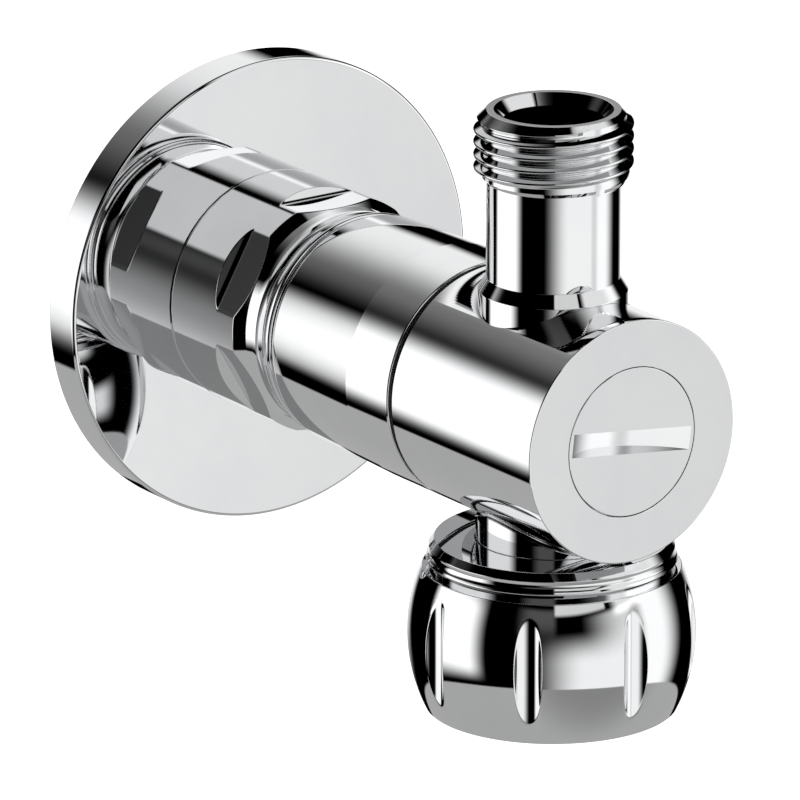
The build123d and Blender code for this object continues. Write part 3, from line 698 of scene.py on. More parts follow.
def metal_finish(name, axle, light, dark, roughness, rings, depth):
    """Bare machined metal with turning rings whose groove bottoms carry a little painted shade."""
    finish = Finish(name, 1.0)
    colour = finish.tone(light, dark, 180.0, Least_Roughness=roughness, Most_Roughness=roughness + 0.18)
    marks = finish.turning(axle, rings, 1.5)
    # painted shade: the colour is multiplied darker in the bottoms of the turning grooves
    shaded = mix_colours(finish.tree, marks["Groove Shade"], colour, (0.86, 0.84, 0.82, 1.0), "MULTIPLY")
    feed(finish.tree, finish.shader["Base Color"], shaded)
    finish.bump(marks["Height"], depth)
    return finish.material


def moulded_finish(name, light, dark, roughness, grain, depth, **fixed):
    """Moulded rubber, polymer or pressed fibre with fine grain."""
    finish = Finish(name, 0.0, **fixed)
    finish.tone(light, dark, 260.0, Least_Roughness=roughness, Most_Roughness=roughness + 0.15)
    finish.bump(finish.effect("Moulded grain", Grain_Scale=grain)["Height"], depth)
    return finish.material


def gauze_finish(name, look):
    """Woven stainless gauze: crossed wires round and along the strainer, with painted shade near black in the
    gaps between them.
    """
    finish = Finish(name, 1.0)
    tree = finish.tree
    parts = add_node(tree, "ShaderNodeSeparateXYZ")
    feed(tree, parts.inputs[0], finish.coordinates)
    turn = math_node(tree, "ARCTAN2", parts.outputs["X"], parts.outputs["Z"])
    warp = math_node(tree, "SINE", math_node(tree, "MULTIPLY", turn, 60.0))
    weft = math_node(tree, "SINE", math_node(tree, "MULTIPLY", parts.outputs["Y"], 10000.0))
    weave = math_node(tree, "MAXIMUM", warp, weft)
    colour = finish.tone(look.steel, look.steel_dark, 300.0, Least_Roughness=0.3, Most_Roughness=0.5)
    # painted shade: near black in the gaps between the wires, the steel tone on the wires
    wires_over_gap_shade = mapped(tree, weave, -0.2, 0.5, 0.12, 1.0)
    feed(tree, finish.shader["Base Color"], mix_colours(tree, wires_over_gap_shade, (0.02, 0.02, 0.02, 1.0), colour))
    finish.bump(weave, 4e-5)
    return finish.material


def finish_of(name):
    """The finish of that name, made on first use."""
    made = bpy.data.materials.get(name)
    if made:
        return made
    look = bpy.context.scene.valve_finish
    makers = {
        "chrome_round_main": lambda: chrome_finish(name, look, MAIN),
        "chrome_round_stem": lambda: chrome_finish(name, look, STEM),
        "brass_turned": lambda: metal_finish(name, STEM, look.brass, look.brass_dark, 0.22, 14000.0, 1.5e-6),
        "steel_main": lambda: metal_finish(name, MAIN, look.steel, look.steel_dark, 0.25, 16000.0, 1e-6),
        "steel_stem": lambda: metal_finish(name, STEM, look.steel, look.steel_dark, 0.25, 16000.0, 1e-6),
        "seal_rubber": lambda: moulded_finish(name, look.rubber, (0.035, 0.035, 0.037), 0.45, 5000.0, 6e-6),
        "natural_polymer": lambda: moulded_finish(
            name, look.polymer, (0.68, 0.67, 0.62), 0.35, 2600.0, 4e-6, Subsurface_Weight=0.08,
            Subsurface_Radius=(0.002, 0.0015, 0.001)),
        "thread_seal_white": lambda: moulded_finish(
            name, look.tape_white, (0.76, 0.76, 0.73), 0.4, 2200.0, 4e-6),
        "pressed_fibre": lambda: moulded_finish(name, look.fibre, (0.2, 0.05, 0.03), 0.7, 3500.0, 1.2e-5),
        "gauze_woven": lambda: gauze_finish(name, look),
    }
    return makers[name]()


# ------------------------------------------------------------------ pieces on the main axis

class VALVE_OT_rosette(bpy.types.Operator):
    """Turn the polished rosette, hollow at the back"""

    bl_idname = "valve.rosette"
    bl_label = "Rosette"

    def execute(self, context):
        size = context.scene.valve_shape
        low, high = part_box("rosette")
        front, back, radius = low.y, high.y, high.x
        hole = INLET_THREAD_R + 0.27 * MM
        inner = radius - size.rosette_wall
        plate_back = front + size.rosette_wall
        piece = lathe("rosette_plate", MAIN, [
            (back, inner, size.edge),
            (plate_back, inner, 4 * size.edge),
            (plate_back, hole, size.edge),
            (front, hole, size.edge),
            (front, radius, size.rosette_edge),
            (back, radius, size.edge),
        ], size.columns)
        stand_for(piece, "rosette", finish_of("chrome_round_main"))
        return {"FINISHED"}


class VALVE_OT_connector(bpy.types.Operator):
    """Make the wall connector with its wrench collar and helical wall thread"""

    bl_idname = "valve.connector"
    bl_label = "Wall connector"

    def collar_radius(self, size, collar, station):
        """Radius of the collar before its flats are cut: a cylinder that ends in a cone."""
        slope = (collar - size.neck_radius) / (size.collar_chamfer - size.collar_end)
        cone = size.neck_radius + (station - size.collar_end) * slope
        return soft_least(collar, cone, 0.05 * MM)

    def flat_distance(self, size, collar, station):
        """A flat's distance from the axis: level, then a rounded corner and a shoulder at 45 degrees."""
        half = size.wrench_flats / 2
        shoulder = half + station - (size.wrench_start - (collar - half))
        return -soft_least(-half, -shoulder, 0.35 * MM)

    def flats_angles(self, size, collar, station):
        """Column angles that follow the edges of the six flats at a station."""
        radius = float(self.collar_radius(size, collar, station))
        half = float(self.flat_distance(size, collar, station))
        edge = math.acos(min(1.0, half / radius))
        edge = max(edge, math.radians(0.4))
        close = np.sin(np.linspace(-1, 1, 17) * math.pi / 2)
        flat = edge * close
        between = edge + (TURN / 6 - 2 * edge) * (np.sin(np.linspace(-1, 1, 13)[1:-1] * math.pi / 2) + 1) / 2
        sector = np.concatenate([flat, between])
        return np.concatenate([sector + TURN / 6 * k for k in range(6)])

    def execute(self, context):
        size = context.scene.valve_shape
        low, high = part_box("inlet_connector")
        spigot_end, thread_end, collar = low.y, high.y, high.x
        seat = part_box("rosette")[0].y
        neck_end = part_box("swivel_washer")[1].y
        spigot = SWIVEL_R
        root = INLET_THREAD_R - THREAD_DEPTH * G_1_2_PITCH
        thread_start = -1.2 * MM
        skin = Skin()

        def radius_of(station, angles):
            sector = TURN / 6
            offset = (angles + sector / 2) % sector - sector / 2
            body = self.collar_radius(size, collar, station)
            half = self.flat_distance(size, collar, station)
            return soft_least(body, half / np.cos(offset), 0.05 * MM)

        def angles_of(station):
            return self.flats_angles(size, collar, station)

        shoulder = size.wrench_start
        clear = shoulder + 0.25 * MM
        stations = np.concatenate([
            np.linspace(size.collar_end, size.collar_chamfer - 0.1 * MM, 14),
            np.linspace(size.collar_chamfer - 0.06 * MM, size.collar_chamfer + 0.12 * MM, 5),
            np.linspace(size.collar_chamfer + 0.3 * MM, shoulder - 1.4 * MM, 6),
            np.linspace(shoulder - 1.35 * MM, shoulder - 0.1 * MM, 30),
            np.linspace(shoulder - 0.08 * MM, clear, 12),
        ])
        first, last = shaped_band(skin, MAIN, stations, radius_of, angles_of)

        ends = angles_of(clear)
        radial = MAIN.radial(ends)
        level = radial * 0.0 + MAIN.line
        edge = size.collar_edge
        row, before = last, radial
        for step in range(EDGE_STEPS + 1):
            swing = math.pi / 2 * step / EDGE_STEPS
            station = seat - edge + edge * math.sin(swing)
            ring = skin.ring(MAIN.points(station, collar - edge * (1 - math.cos(swing)), ends))
            normals = radial * math.cos(swing) + MAIN.line * math.sin(swing)
            skin.strip(row, ring, before, normals)
            row, before = ring, normals
        back = skin.ring(MAIN.points(seat, spigot, ends))
        skin.strip(row, back, level, level)
        start = angles_of(size.collar_end)
        front = skin.ring(MAIN.points(size.collar_end, spigot, start))
        skin.strip(first, front, -level, -level)

        turned(skin, MAIN, [
            (thread_end, WATERWAY_R, 0.4 * MM),
            (spigot_end, WATERWAY_R, 0.1 * MM),
            (spigot_end, spigot, 0.4 * MM),
            (neck_end, spigot),
            (neck_end, size.neck_radius, size.edge),
            ((neck_end + size.collar_end) / 2, size.neck_radius - size.neck_waist, 3.0 * MM),
            (size.collar_end + 0.005 * MM, size.neck_radius),
            (size.collar_end + 0.005 * MM, spigot + 0.5 * MM),
            (seat - 0.005 * MM, spigot + 0.5 * MM),
            (seat - 0.005 * MM, INLET_PILOT_R),
            (seat + 1.3 * MM, INLET_PILOT_R, size.edge),
            (seat + 1.3 * MM, root),
            (thread_end - 0.4 * MM, root),
            (thread_end, root - 0.4 * MM),
        ], size.columns)
        thread_ridge(skin, MAIN, thread_start, thread_end - 0.3 * MM, thread_end,
                     INLET_THREAD_R, G_1_2_PITCH, size.columns, lambda s: root - 0.4 * MM + (thread_end - s))
        stand_for(skin.build("wall_connector"), "inlet_connector", finish_of("chrome_round_main"))
        return {"FINISHED"}


class VALVE_OT_swivel_ring(bpy.types.Operator):
    """Turn the stepped bearing ring between neck and sleeve"""

    bl_idname = "valve.swivel_ring"
    bl_label = "Swivel ring"

    def execute(self, context):
        size = context.scene.valve_shape
        low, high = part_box("swivel_washer")
        bore = SWIVEL_R
        step = low.y + 0.47 * (high.y - low.y)
        inner = high.x - 0.3 * MM
        piece = lathe("swivel_bearing_ring", MAIN, [
            (high.y, bore),
            (high.y, inner, 0.4 * MM),
            (step, inner, 0.05 * MM),
            (step, high.x, 0.35 * MM),
            (low.y, high.x, 0.35 * MM),
            (low.y, bore),
        ], size.columns)
        stand_for(piece, "swivel_washer", finish_of("chrome_round_main"))
        return {"FINISHED"}


class VALVE_OT_rear_sleeve(bpy.types.Operator):
    """Turn the tapered rear sleeve and the ring in the body's joint"""

    bl_idname = "valve.rear_sleeve"
    bl_label = "Rear sleeve and joint ring"

    def execute(self, context):
        size = context.scene.valve_shape
        low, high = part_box("rear_sleeve")
        radius, split = high.x, BODY_SPLIT_R
        shoulder = high.y - 10.1 * MM
        piece = lathe("rear_sleeve_shell", MAIN, [
            (high.y, SWIVEL_BORE_R, size.edge),
            (high.y, size.sleeve_rear_radius, size.sleeve_corner),
            (size.sleeve_taper_end, radius),
            (low.y, radius, size.groove_edge),
            (low.y, split),
            (shoulder, split),
            (shoulder, SWIVEL_BORE_R),
        ], size.columns)
        stand_for(piece, "rear_sleeve", finish_of("chrome_round_main"))
        low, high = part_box("joint_ring")
        piece = lathe("joint_sealing_ring", MAIN, [
            (high.y, split),
            (high.y, high.x, 0.15 * MM),
            (low.y, high.x, 0.15 * MM),
            (low.y, split),
        ], size.columns)
        stand_for(piece, "joint_ring", finish_of("seal_rubber"))
        return {"FINISHED"}


class VALVE_OT_front_body(bpy.types.Operator):
    """Make the front body: turned outside, bonnet boss below and outlet socket above"""

    bl_idname = "valve.front_body"
    bl_label = "Front body"

    def execute(self, context):
        size = context.scene.valve_shape
        low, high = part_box("front_body")
        radius, front = high.x, low.y
        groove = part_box("joint_ring")[0].y
        plug_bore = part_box("filter_plug")[1].x + 0.08 * MM
        strainer_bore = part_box("filter_frame")[1].x + 0.1 * MM
        strainer_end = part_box("filter_frame")[1].y + 0.1 * MM
        step = front + 3.5 * MM
        chamber_end = strainer_end + 3.5 * MM
        piece = lathe("front_body_shell", MAIN, [
            (high.y, REAR_CHAMBER_R),
            (high.y, BODY_SPLIT_R, 0.2 * MM),
            (groove, BODY_SPLIT_R),
            (groove, radius, size.groove_edge),
            (front, radius, size.edge),
            (front, plug_bore, 0.05 * MM),
            (step, plug_bore),
            (step, strainer_bore),
            (strainer_end, strainer_bore),
            (strainer_end, 0.0),
            (chamber_end, 0.0),
            (chamber_end, REAR_CHAMBER_R),
        ], size.columns)
        boss = BOSS_R
        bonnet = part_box("bonnet")[1].z
        cut_with(piece, lathe("boss", STEM, [
            (low.z, 0.0), (low.z, boss, size.edge), (-9.6 * MM, boss), (-9.6 * MM, 0.0),
        ], size.columns), "UNION")
        cut_with(piece, lathe("chamber", STEM, [
            (low.z - MM, 0.0), (low.z - MM, 6.5 * MM), (bonnet, 6.5 * MM), (bonnet, 5.4 * MM),
            (-9.2 * MM, 5.4 * MM), (-9.2 * MM, 2.5 * MM), (-6.0 * MM, 2.5 * MM), (-6.0 * MM, 0.0),
        ], 128), "DIFFERENCE")
        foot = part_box("outlet_spigot")[0].z
        cut_with(piece, lathe("outlet_socket", STEM, [
            (5.0 * MM, 0.0), (5.0 * MM, OUTLET_PASSAGE_R), (foot, OUTLET_PASSAGE_R), (foot, 7.6 * MM),
            (radius + MM, 7.6 * MM), (radius + MM, 0.0),
        ], 128), "DIFFERENCE")

        bores = (plug_bore, strainer_bore, REAR_CHAMBER_R, BODY_SPLIT_R)

        def axle_of(face):
            if abs(face.normal.y) > 0.9999 or abs(face.normal.z) > 0.9999 and face.center.z < -radius:
                return None
            reach = math.hypot(face.center.x, face.center.z)
            if reach > radius + 0.003 * MM:
                return STEM
            if reach > radius - size.groove_edge or any(abs(reach - bore) < 0.02 * MM for bore in bores):
                return MAIN
            return STEM

        true_normals(piece, axle_of)
        stand_for(piece, "front_body", finish_of("chrome_round_main"))
        fillet = self.neck_fillet(size, radius, boss)
        fillet.data.materials.append(finish_of("chrome_round_stem"))
        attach(fillet, frame["nodes"]["front_body"]["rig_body"])
        return {"FINISHED"}

    def neck_fillet(self, size, radius, boss):
        """Hollow round corner between the body and the boss, as a ball rolled along both would leave it."""
        ball = size.neck_fillet
        angles = even_angles(size.columns)
        outwards = STEM.radial(angles)
        side = outwards[:, 0] * (boss + ball)
        centres = STEM.points(0.0, boss + ball, angles)
        centres[:, 2] = -np.sqrt((radius + ball) ** 2 - side**2)
        down = np.stack([centres[:, 0], 0 * side, centres[:, 2]], axis=1) / (radius + ball)
        skin = Skin()
        steps = 10
        rows = []
        for step in range(steps + 1):
            share_down = step / steps
            normals = outwards * (1 - share_down) + down * share_down
            normals /= np.linalg.norm(normals, axis=1)[:, None]
            rows.append((skin.ring(centres - normals * ball), normals))
        buried = 0.5 * MM
        under = skin.ring(centres - (outwards + down) * (ball + buried)), -outwards
        hidden = (rows[-1][0], down), under, rows[0]
        for (row_a, normals_a), (row_b, normals_b) in zip(rows, rows[1:]):
            skin.strip(row_a, row_b, normals_a, normals_b)
        for (row_a, _), (row_b, _), normals in zip(hidden, hidden[1:], (-outwards, -down)):
            skin.strip(row_a, row_b, normals, normals)
        return skin.build("neck_fillet")


class VALVE_OT_plug(bpy.types.Operator):
    """Turn the flush plug and mill its coin slot"""

    bl_idname = "valve.plug"
    bl_label = "Strainer plug"

    def execute(self, context):
        size = context.scene.valve_shape
        low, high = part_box("filter_plug")
        front, radius = low.y, high.x
        land, groove = 6.9 * MM, 5.5 * MM
        step, end = front + 3.4 * MM, front + 7.0 * MM
        stub_head = high.y - 0.9 * MM
        piece = lathe("strainer_plug_turning", MAIN, [
            (front, 0.0),
            (front, radius, 0.08 * MM),
            (step, radius, 0.1 * MM),
            (step, land),
            (front + 4.2 * MM, land),
            (front + 4.2 * MM, groove),
            (front + 6.0 * MM, groove),
            (front + 6.0 * MM, land),
            (end, land),
            (end, 1.8 * MM),
            (stub_head, 1.8 * MM),
            (stub_head, 2.5 * MM),
            (high.y, 1.8 * MM),
            (high.y, 0.0),
        ], size.columns)
        tilt = size.slot_tilt
        cutter_axle = Axle("Z", front + size.slot_depth - size.slot_radius)
        half = size.slot_width / 2
        tool = lathe("slot_cutter", cutter_axle, [
            (-half, 0.0), (-half, size.slot_radius), (half, size.slot_radius), (half, 0.0),
        ], 720)
        tool.rotation_euler.y = -tilt
        cut_with(piece, tool, "DIFFERENCE")
        mesh = piece.data
        across = np.array([math.sin(-tilt), 0.0, math.cos(-tilt)])
        floor_foot = np.array([0.0, cutter_axle.foot, 0.0])
        true_normals(piece, lambda face: MAIN)
        normals = [np.array(corner.vector) for corner in mesh.corner_normals]
        for face in mesh.polygons:
            centre = np.array(face.center)
            inside = abs(float(centre @ across)) < half + 0.01 * MM and face.center.y > front + 0.02 * MM
            wall = abs(float(np.array(face.normal) @ across)) > 0.9
            depth = np.linalg.norm(centre - floor_foot - across * float((centre - floor_foot) @ across))
            floor = inside and not wall and abs(depth - size.slot_radius) < 0.05 * MM
            for corner in face.loop_indices:
                if floor:
                    arm = np.array(mesh.vertices[mesh.loops[corner].vertex_index].co) - floor_foot
                    arm -= across * float(arm @ across)
                    normals[corner] = -arm / np.linalg.norm(arm)
                elif inside and wall:
                    normals[corner] = np.array(face.normal)
        mesh.normals_split_custom_set([tuple(n) for n in normals])
        stand_for(piece, "filter_plug", finish_of("chrome_round_main"))
        return {"FINISHED"}


# ------------------------------------------------------------------ pieces on the upright axis

class VALVE_OT_outlet(bpy.types.Operator):
    """Make the upright outlet with its helical thread and countersunk mouth"""

    bl_idname = "valve.outlet"
    bl_label = "Outlet"

    def execute(self, context):
        size = context.scene.valve_shape
        low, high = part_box("outlet_spigot")
        root = OUTLET_THREAD_R - THREAD_DEPTH * G_3_8_PITCH
        collar = OUTLET_SEAT_R
        top, foot = high.z, low.z
        skin = Skin()
        turned(skin, STEM, [
            (foot, OUTLET_PASSAGE_R),
            (foot, collar),
            (size.collar_top, collar, 0.15 * MM),
            (size.cone_top, size.tube_radius, 0.15 * MM),
            (size.outlet_thread_start - 0.4 * MM, size.tube_radius),
            (size.outlet_thread_start + 0.1 * MM, root),
            (top - (root - size.tube_radius), root),
            (top, size.tube_radius, size.edge / 2),
            (top, size.mouth_radius, size.edge / 2),
            (top - size.mouth_depth, OUTLET_BORE_R),
            (18.0 * MM, OUTLET_BORE_R),
            (18.0 * MM, OUTLET_PASSAGE_R),
        ], size.columns)
        thread_ridge(skin, STEM, size.outlet_thread_start - 0.5 * MM, top + 0.3 * MM, top - 0.03 * MM,
                     OUTLET_THREAD_R, G_3_8_PITCH, 2 * size.columns, lambda s: size.tube_radius + (top - s))
        stand_for(skin.build("outlet_turning"), "outlet_spigot", finish_of("chrome_round_stem"))
        return {"FINISHED"}


class VALVE_OT_handwheel(bpy.types.Operator):
    """Make the handwheel: fluted barrel, top ring and bottom cap"""

    bl_idname = "valve.handwheel"
    bl_label = "Handwheel"

    def execute(self, context):
        size = context.scene.valve_shape
        self.barrel(size)
        self.top_ring(size)
        self.cover(size)
        return {"FINISHED"}

    def barrel(self, size):
        """Barrel outline with upright flutes cut by a soft-edged round cutter."""
        low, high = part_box("handwheel_barrel")
        top, end = high.z, low.z
        bore, cover = WHEEL_BORE_R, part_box("handwheel_cover")[1].x
        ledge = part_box("handwheel_cover")[1].z
        spots = [(top, size.barrel_top_radius), (size.waist_height, size.waist_radius),
                 (end, size.barrel_end_radius)]
        (z1, r1), (z2, r2), (z3, r3) = spots
        system = np.array([[z2 - z1, r2 - r1], [z3 - z2, r3 - r2]])
        sums = np.array([z2 * z2 + r2 * r2 - z1 * z1 - r1 * r1, z3 * z3 + r3 * r3 - z2 * z2 - r2 * r2]) / 2
        arc_z, arc_r = np.linalg.solve(system, sums)
        bow = math.hypot(z1 - arc_z, r1 - arc_r)
        reach = size.flute_floor + size.flute_radius
        sector = TURN / size.flutes

        def outline(station):
            return arc_r + math.sqrt(bow * bow - (station - arc_z) ** 2)

        def radius_of(station, angles):
            offset = (angles + sector / 2) % sector - sector / 2
            side = np.abs(reach * np.sin(offset))
            depth = np.sqrt(np.maximum(size.flute_radius**2 - side**2, 0))
            flute = np.where(side < size.flute_radius, reach * np.cos(offset) - depth, reach)
            return soft_least(outline(station) + 0 * angles, flute, 0.1 * MM)

        def angles_of(station):
            radius = outline(station)
            cosine = (radius**2 + reach**2 - size.flute_radius**2) / (2 * radius * reach)
            edge = max(math.acos(min(1.0, cosine)), math.radians(0.25))
            close = np.sin(np.linspace(-1, 1, 21) * math.pi / 2)
            eased = (np.sin(np.linspace(-1, 1, 17)[1:-1] * math.pi / 2) + 1) / 2
            between = edge + (sector - 2 * edge) * eased
            part = np.concatenate([edge * close, between])
            return np.concatenate([part + sector * k for k in range(size.flutes)])

        skin = Skin()
        stations = np.linspace(end + 0.1 * MM, top - 0.1 * MM, 110)
        first, last = shaped_band(skin, STEM, stations, radius_of, angles_of)
        for row, station, corner, rim, inner in (
            (first, end + 0.1 * MM, end, size.barrel_end_radius, cover),
            (last, top - 0.1 * MM, top, size.barrel_top_radius, bore),
        ):
            angles = angles_of(station)
            radial = STEM.radial(angles)
            out = -1.0 if corner == end else 1.0
            before = radial
            for swing in (0.5, 1.0):
                turn = swing * math.pi / 2
                ring = skin.ring(STEM.points(
                    station + out * 0.1 * MM * math.sin(turn), rim - 0.1 * MM * (1 - math.cos(turn)), angles))
                normals = radial * math.cos(turn) + STEM.line * out * math.sin(turn)
                skin.strip(row, ring, before, normals)
                row, before = ring, normals
            ring = skin.ring(STEM.points(corner, inner, angles))
            level = radial * 0.0 + STEM.line * out
            skin.strip(row, ring, level, level)
            depth = ledge if corner == end else ledge + 0.01 * MM
            deep = skin.ring(STEM.points(depth, inner, angles))
            skin.strip(ring, deep, -radial, -radial)
            if corner == end:
                seat = skin.ring(STEM.points(ledge, bore, angles))
                skin.strip(deep, seat, -level, -level)
        stand_for(skin.build("handwheel_grip"), "handwheel_barrel", finish_of("chrome_round_stem"))

    def top_ring(self, size):
        """Flat top, cone, hollowed band and bead."""
        low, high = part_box("handwheel_top_ring")
        top, bead = high.z, high.x
        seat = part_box("handwheel_barrel")[1].z
        bore = WHEEL_BORE_R
        hole = 8.1 * MM
        piece = lathe("handwheel_bead_ring", STEM, [
            (top, hole, 0.08 * MM),
            (top, 12.3 * MM, 0.08 * MM),
            (top - 0.8 * MM, 12.9 * MM, 0.12 * MM),
            (top - 1.45 * MM, 12.74 * MM, 0.8 * MM),
            (top - 1.85 * MM, bead - 0.12 * MM, 0.12 * MM),
            (top - 2.1 * MM, bead, 0.2 * MM),
            (top - 2.6 * MM, bead - 0.3 * MM, 0.1 * MM),
            (top - 2.6 * MM, 12.6 * MM),
            (seat, 12.6 * MM),
            (seat, bore),
            (low.z, bore),
            (low.z, bore - 1.2 * MM),
            (seat + 0.9 * MM, bore - 1.2 * MM),
            (seat + 0.9 * MM, hole),
        ], size.columns)
        stand_for(piece, "handwheel_top_ring", finish_of("chrome_round_stem"))

    def cover(self, size):
        """Shallow dished cap in the barrel's lower end."""
        low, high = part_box("handwheel_cover")
        piece = lathe("handwheel_cap", STEM, [
            (high.z, 0.0),
            (high.z, high.x),
            (low.z, high.x, 0.3 * MM),
            (low.z, high.x - 1.2 * MM, 0.2 * MM),
            (low.z + 0.25 * MM, high.x - 2.0 * MM, 0.4 * MM),
            (low.z + 0.25 * MM, 0.0),
        ], size.columns)
        stand_for(piece, "handwheel_cover", finish_of("chrome_round_stem"))


# ------------------------------------------------------------------ inner pieces

INNER_FINISHES = {
    "thread_seal_white": ("inlet_thread_seal",),
    "seal_rubber": ("swivel_o_rings", "seat_washer", "spindle_o_rings", "plug_o_ring"),
    "steel_main": ("swivel_thrust_washer", "swivel_snap_ring"),
    "steel_stem": ("valve_seat", "washer_screw", "spindle_circlip", "handwheel_screw"),
    "pressed_fibre": ("outlet_seal_ring", "bonnet_gasket"),
    "brass_turned": ("bonnet", "plunger", "spindle"),
    "natural_polymer": ("handwheel_insert", "filter_frame"),
    "gauze_woven": ("filter_mesh",),
}


class VALVE_OT_inner_pieces(bpy.types.Operator):
    """Give the seals, the spindle, the bonnet and the strainer their finishes"""

    bl_idname = "valve.inner_pieces"
    bl_label = "Inner pieces"

    def execute(self, context):
        for finish, nodes in INNER_FINISHES.items():
            for node in nodes:
                mesh = frame["nodes"][node].data
                mesh.materials.clear()
                mesh.materials.append(finish_of(finish))
        return {"FINISHED"}


# ------------------------------------------------------------------ studio

# Soft boxes as the plating sees them, in degrees: azimuth 0 is away from the wall and 90 is +X.
# Each is (azimuth from, to, softness from, to, elevation from, to, softness from, to, strength).
SOFT_BOXES = (
    (-148, -98, 4.5, 9, -22, 21, 5, 8, 1.35),
    (-60, -33, 8, 3, 10, 24, 8, 2, 0.09),
    (-30, 38, 22, 8, -90, -1, 1, 11, 1.07),
    (8, 36, 20, 6, -1, 18, 11, 2, 0.8),
    (41, 76, 8, 14, -90, 22, 1, 8, 1.2),
    (-33, 11.5, 1.5, 1, 20.5, 52, 1.5, 6, 0.76),
    (20, 85, 5, 8, 15, 68, 3, 6, 0.9),
    (122, 166, 10, 8, -19, -4, 5, 4, 0.95),
    (133, 172, 8, 22, 17, 60, 4, 10, 1.0),
    (155, 215, 16, 20, 32, 70, 10, 14, 0.24),
)


def box_group():
    """One soft box: its brightness in the direction given by azimuth and elevation, in degrees."""
    labels = ("Azimuth", "Elevation", "From", "To", "Soft From", "Soft To",
              "Low", "High", "Soft Low", "Soft High", "Strength")
    inputs = [(label, "Float", 0.0) for label in labels]
    tree, give, take = new_group("Soft box", inputs, [("Light", "Float")])

    def edge(value, limit, softness, outside, inside):
        low = math_node(tree, "SUBTRACT", limit, softness)
        high = math_node(tree, "ADD", limit, softness)
        return mapped(tree, value, low, high, outside, inside)

    middle = math_node(tree, "MULTIPLY", math_node(tree, "ADD", give["From"], give["To"]), 0.5)
    offset = math_node(tree, "SUBTRACT", give["Azimuth"], middle)
    azimuth = math_node(tree, "ADD", math_node(tree, "WRAP", offset, 180.0, -180.0), middle)
    light = give["Strength"]
    for side in (
        edge(azimuth, give["From"], give["Soft From"], 0.0, 1.0),
        edge(azimuth, give["To"], give["Soft To"], 1.0, 0.0),
        edge(give["Elevation"], give["Low"], give["Soft Low"], 0.0, 1.0),
        edge(give["Elevation"], give["High"], give["Soft High"], 1.0, 0.0),
    ):
        light = math_node(tree, "MULTIPLY", light, side)
    feed(tree, take["Light"], light)
    return tree


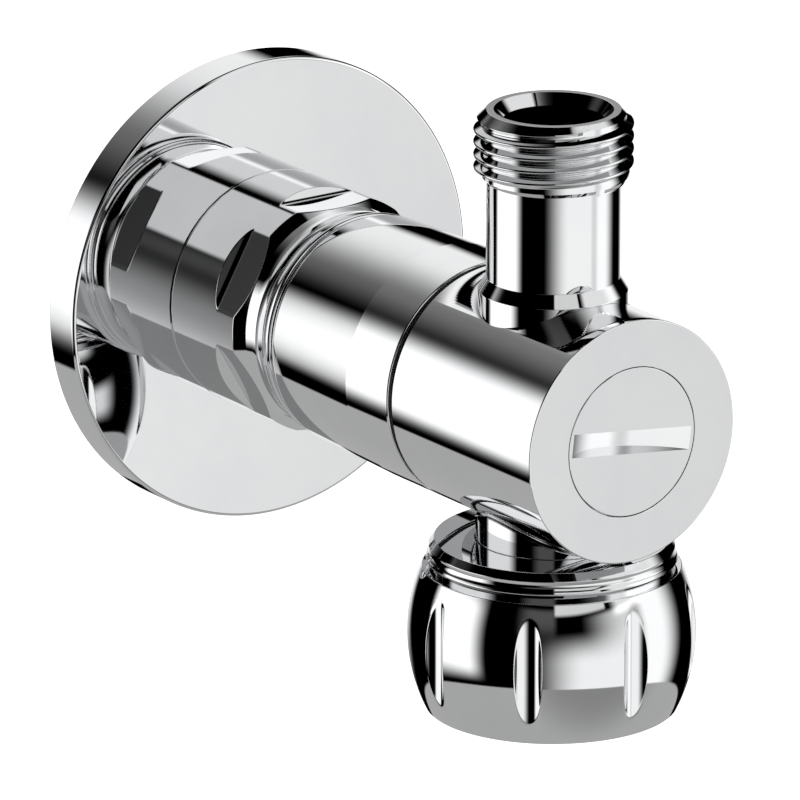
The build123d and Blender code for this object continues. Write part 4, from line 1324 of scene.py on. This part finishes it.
class VALVE_OT_stage(bpy.types.Operator):
    """Set the pale floor, the soft studio light and the camera"""

    bl_idname = "valve.stage"
    bl_label = "Studio"

    def execute(self, context):
        studio = context.scene.valve_studio
        context.scene.view_settings.view_transform = "Standard"
        self.studio_light(context.scene, studio)
        self.floor(context.scene, studio)
        self.camera(context.scene, studio)
        return {"FINISHED"}

    def studio_light(self, scene, studio):
        """A dark studio with soft boxes, a grey ground below the horizon, and a pale background."""
        world = bpy.data.worlds.new("studio")
        scene.world = world
        world.use_nodes = True
        tree = world.node_tree
        tree.nodes.clear()
        parts = add_node(tree, "ShaderNodeSeparateXYZ")
        feed(tree, parts.inputs[0], add_node(tree, "ShaderNodeTexCoord").outputs["Generated"])
        back = math_node(tree, "MULTIPLY", parts.outputs["Y"], -1.0)
        azimuth = math_node(tree, "DEGREES", math_node(tree, "ARCTAN2", parts.outputs["X"], back))
        height = math_node(tree, "DEGREES", math_node(tree, "ARCSINE", parts.outputs["Z"]))
        total = 0.0
        group = box_group()
        for values in SOFT_BOXES:
            box = add_node(tree, "ShaderNodeGroup", node_tree=group)
            for socket, source in zip(box.inputs, (azimuth, height, *values)):
                feed(tree, socket, source)
            total = math_node(tree, "ADD", total, box.outputs["Light"])
        horizon = math.degrees(studio.horizon)
        front = mapped(tree, parts.outputs["Y"], -0.85, -0.3, 0.62, 1.0)
        seen = add_node(tree, "ShaderNodeMix", data_type="FLOAT")
        feed(tree, seen.inputs["Factor"], mapped(tree, height, horizon - 0.5, horizon + 0.5, 1.0, 0.0))
        feed(tree, seen.inputs["A"], math_node(tree, "MULTIPLY", total, studio.lamps))
        feed(tree, seen.inputs["B"], math_node(tree, "MULTIPLY", front, studio.ground))
        choose = add_node(tree, "ShaderNodeMixShader")
        feed(tree, choose.inputs["Fac"], add_node(tree, "ShaderNodeLightPath").outputs["Is Camera Ray"])
        for socket, strength in zip(choose.inputs[1:], (seen.outputs["Result"], studio.background)):
            shader = add_node(tree, "ShaderNodeBackground")
            feed(tree, shader.inputs["Color"], (1.0, 1.0, 1.0, 1.0))
            feed(tree, shader.inputs["Strength"], strength)
            feed(tree, socket, shader.outputs[0])
        feed(tree, add_node(tree, "ShaderNodeOutputWorld").inputs["Surface"], choose.outputs[0])

    def floor(self, scene, studio):
        """A wide pale floor that the plating doesn't mirror, because the ground tone stands for it there."""
        level = CAD_BOX[0].z - studio.floor_drop
        reach = 30.0
        mesh = bpy.data.meshes.new("floor")
        corners = [(x * reach, y * reach, level) for x, y in ((-1, -1), (1, -1), (1, 1), (-1, 1))]
        mesh.from_pydata(corners, [], [(0, 1, 2, 3)])
        floor = bpy.data.objects.new("floor", mesh)
        scene.collection.objects.link(floor)
        finish = Finish("pale_floor", 0.0, Emission_Strength=1.06, Emission_Color=opaque(studio.floor))
        shade = [0.98 * channel for channel in studio.floor]
        finish.tone(studio.floor, shade, 3.0, Least_Roughness=0.6, Most_Roughness=0.7)
        mesh.materials.append(finish.material)
        floor.visible_glossy = False
        floor.visible_diffuse = False

    def camera(self, scene, studio):
        """A long lens at the valve's front left, a little above it."""
        turn, lift = studio.azimuth, studio.elevation
        back = Vector((math.sin(turn) * math.cos(lift), -math.cos(turn) * math.cos(lift), math.sin(lift)))
        middle = (CAD_BOX[0] + CAD_BOX[1]) / 2
        aim = middle + Vector((0.0, -studio.aim_forward, -studio.aim_drop))
        data = bpy.data.cameras.new("camera")
        data.lens = studio.lens
        data.sensor_width = 36.0
        data.clip_end = 60.0
        camera = bpy.data.objects.new("camera", data)
        scene.collection.objects.link(camera)
        camera.location = aim + back * studio.distance
        camera.rotation_mode = "QUATERNION"
        camera.rotation_quaternion = (-back).to_track_quat("-Z", "Y")
        scene.camera = camera


# ------------------------------------------------------------------ add-on

OPERATORS = (
    VALVE_OT_rosette,
    VALVE_OT_connector,
    VALVE_OT_swivel_ring,
    VALVE_OT_rear_sleeve,
    VALVE_OT_front_body,
    VALVE_OT_plug,
    VALVE_OT_outlet,
    VALVE_OT_handwheel,
    VALVE_OT_inner_pieces,
    VALVE_OT_stage,
)


class VALVE_PT_panel(bpy.types.Panel):
    """Sidebar panel of the valve"""

    bl_idname = "VALVE_PT_panel"
    bl_label = "Angle stop valve"
    bl_space_type = "VIEW_3D"
    bl_region_type = "UI"
    bl_category = "Valve"

    def draw(self, context):
        for operator in OPERATORS:
            self.layout.operator(operator.bl_idname)
        for name in ("valve_shape", "valve_finish", "valve_studio"):
            settings = getattr(context.scene, name)
            column = self.layout.column(heading=name)
            for key in settings.bl_rna.properties.keys():
                if key not in {"rna_type", "name"}:
                    column.prop(settings, key)


CLASSES = (ShapeSettings, FinishSettings, StudioSettings, *OPERATORS, VALVE_PT_panel)


def register():
    """Registers the classes and hangs the settings on the scene."""
    for item in CLASSES:
        bpy.utils.register_class(item)
    bpy.types.Scene.valve_shape = PointerProperty(type=ShapeSettings)
    bpy.types.Scene.valve_finish = PointerProperty(type=FinishSettings)
    bpy.types.Scene.valve_studio = PointerProperty(type=StudioSettings)


def unregister():
    """Takes the settings and the classes away again."""
    del bpy.types.Scene.valve_studio
    del bpy.types.Scene.valve_finish
    del bpy.types.Scene.valve_shape
    for item in reversed(CLASSES):
        bpy.utils.unregister_class(item)


def main():
    """Builds every piece and the studio."""
    register()
    for operator in OPERATORS:
        group, name = operator.bl_idname.split(".")
        getattr(getattr(bpy.ops, group), name)()


if __name__ == "__main__":
    main()
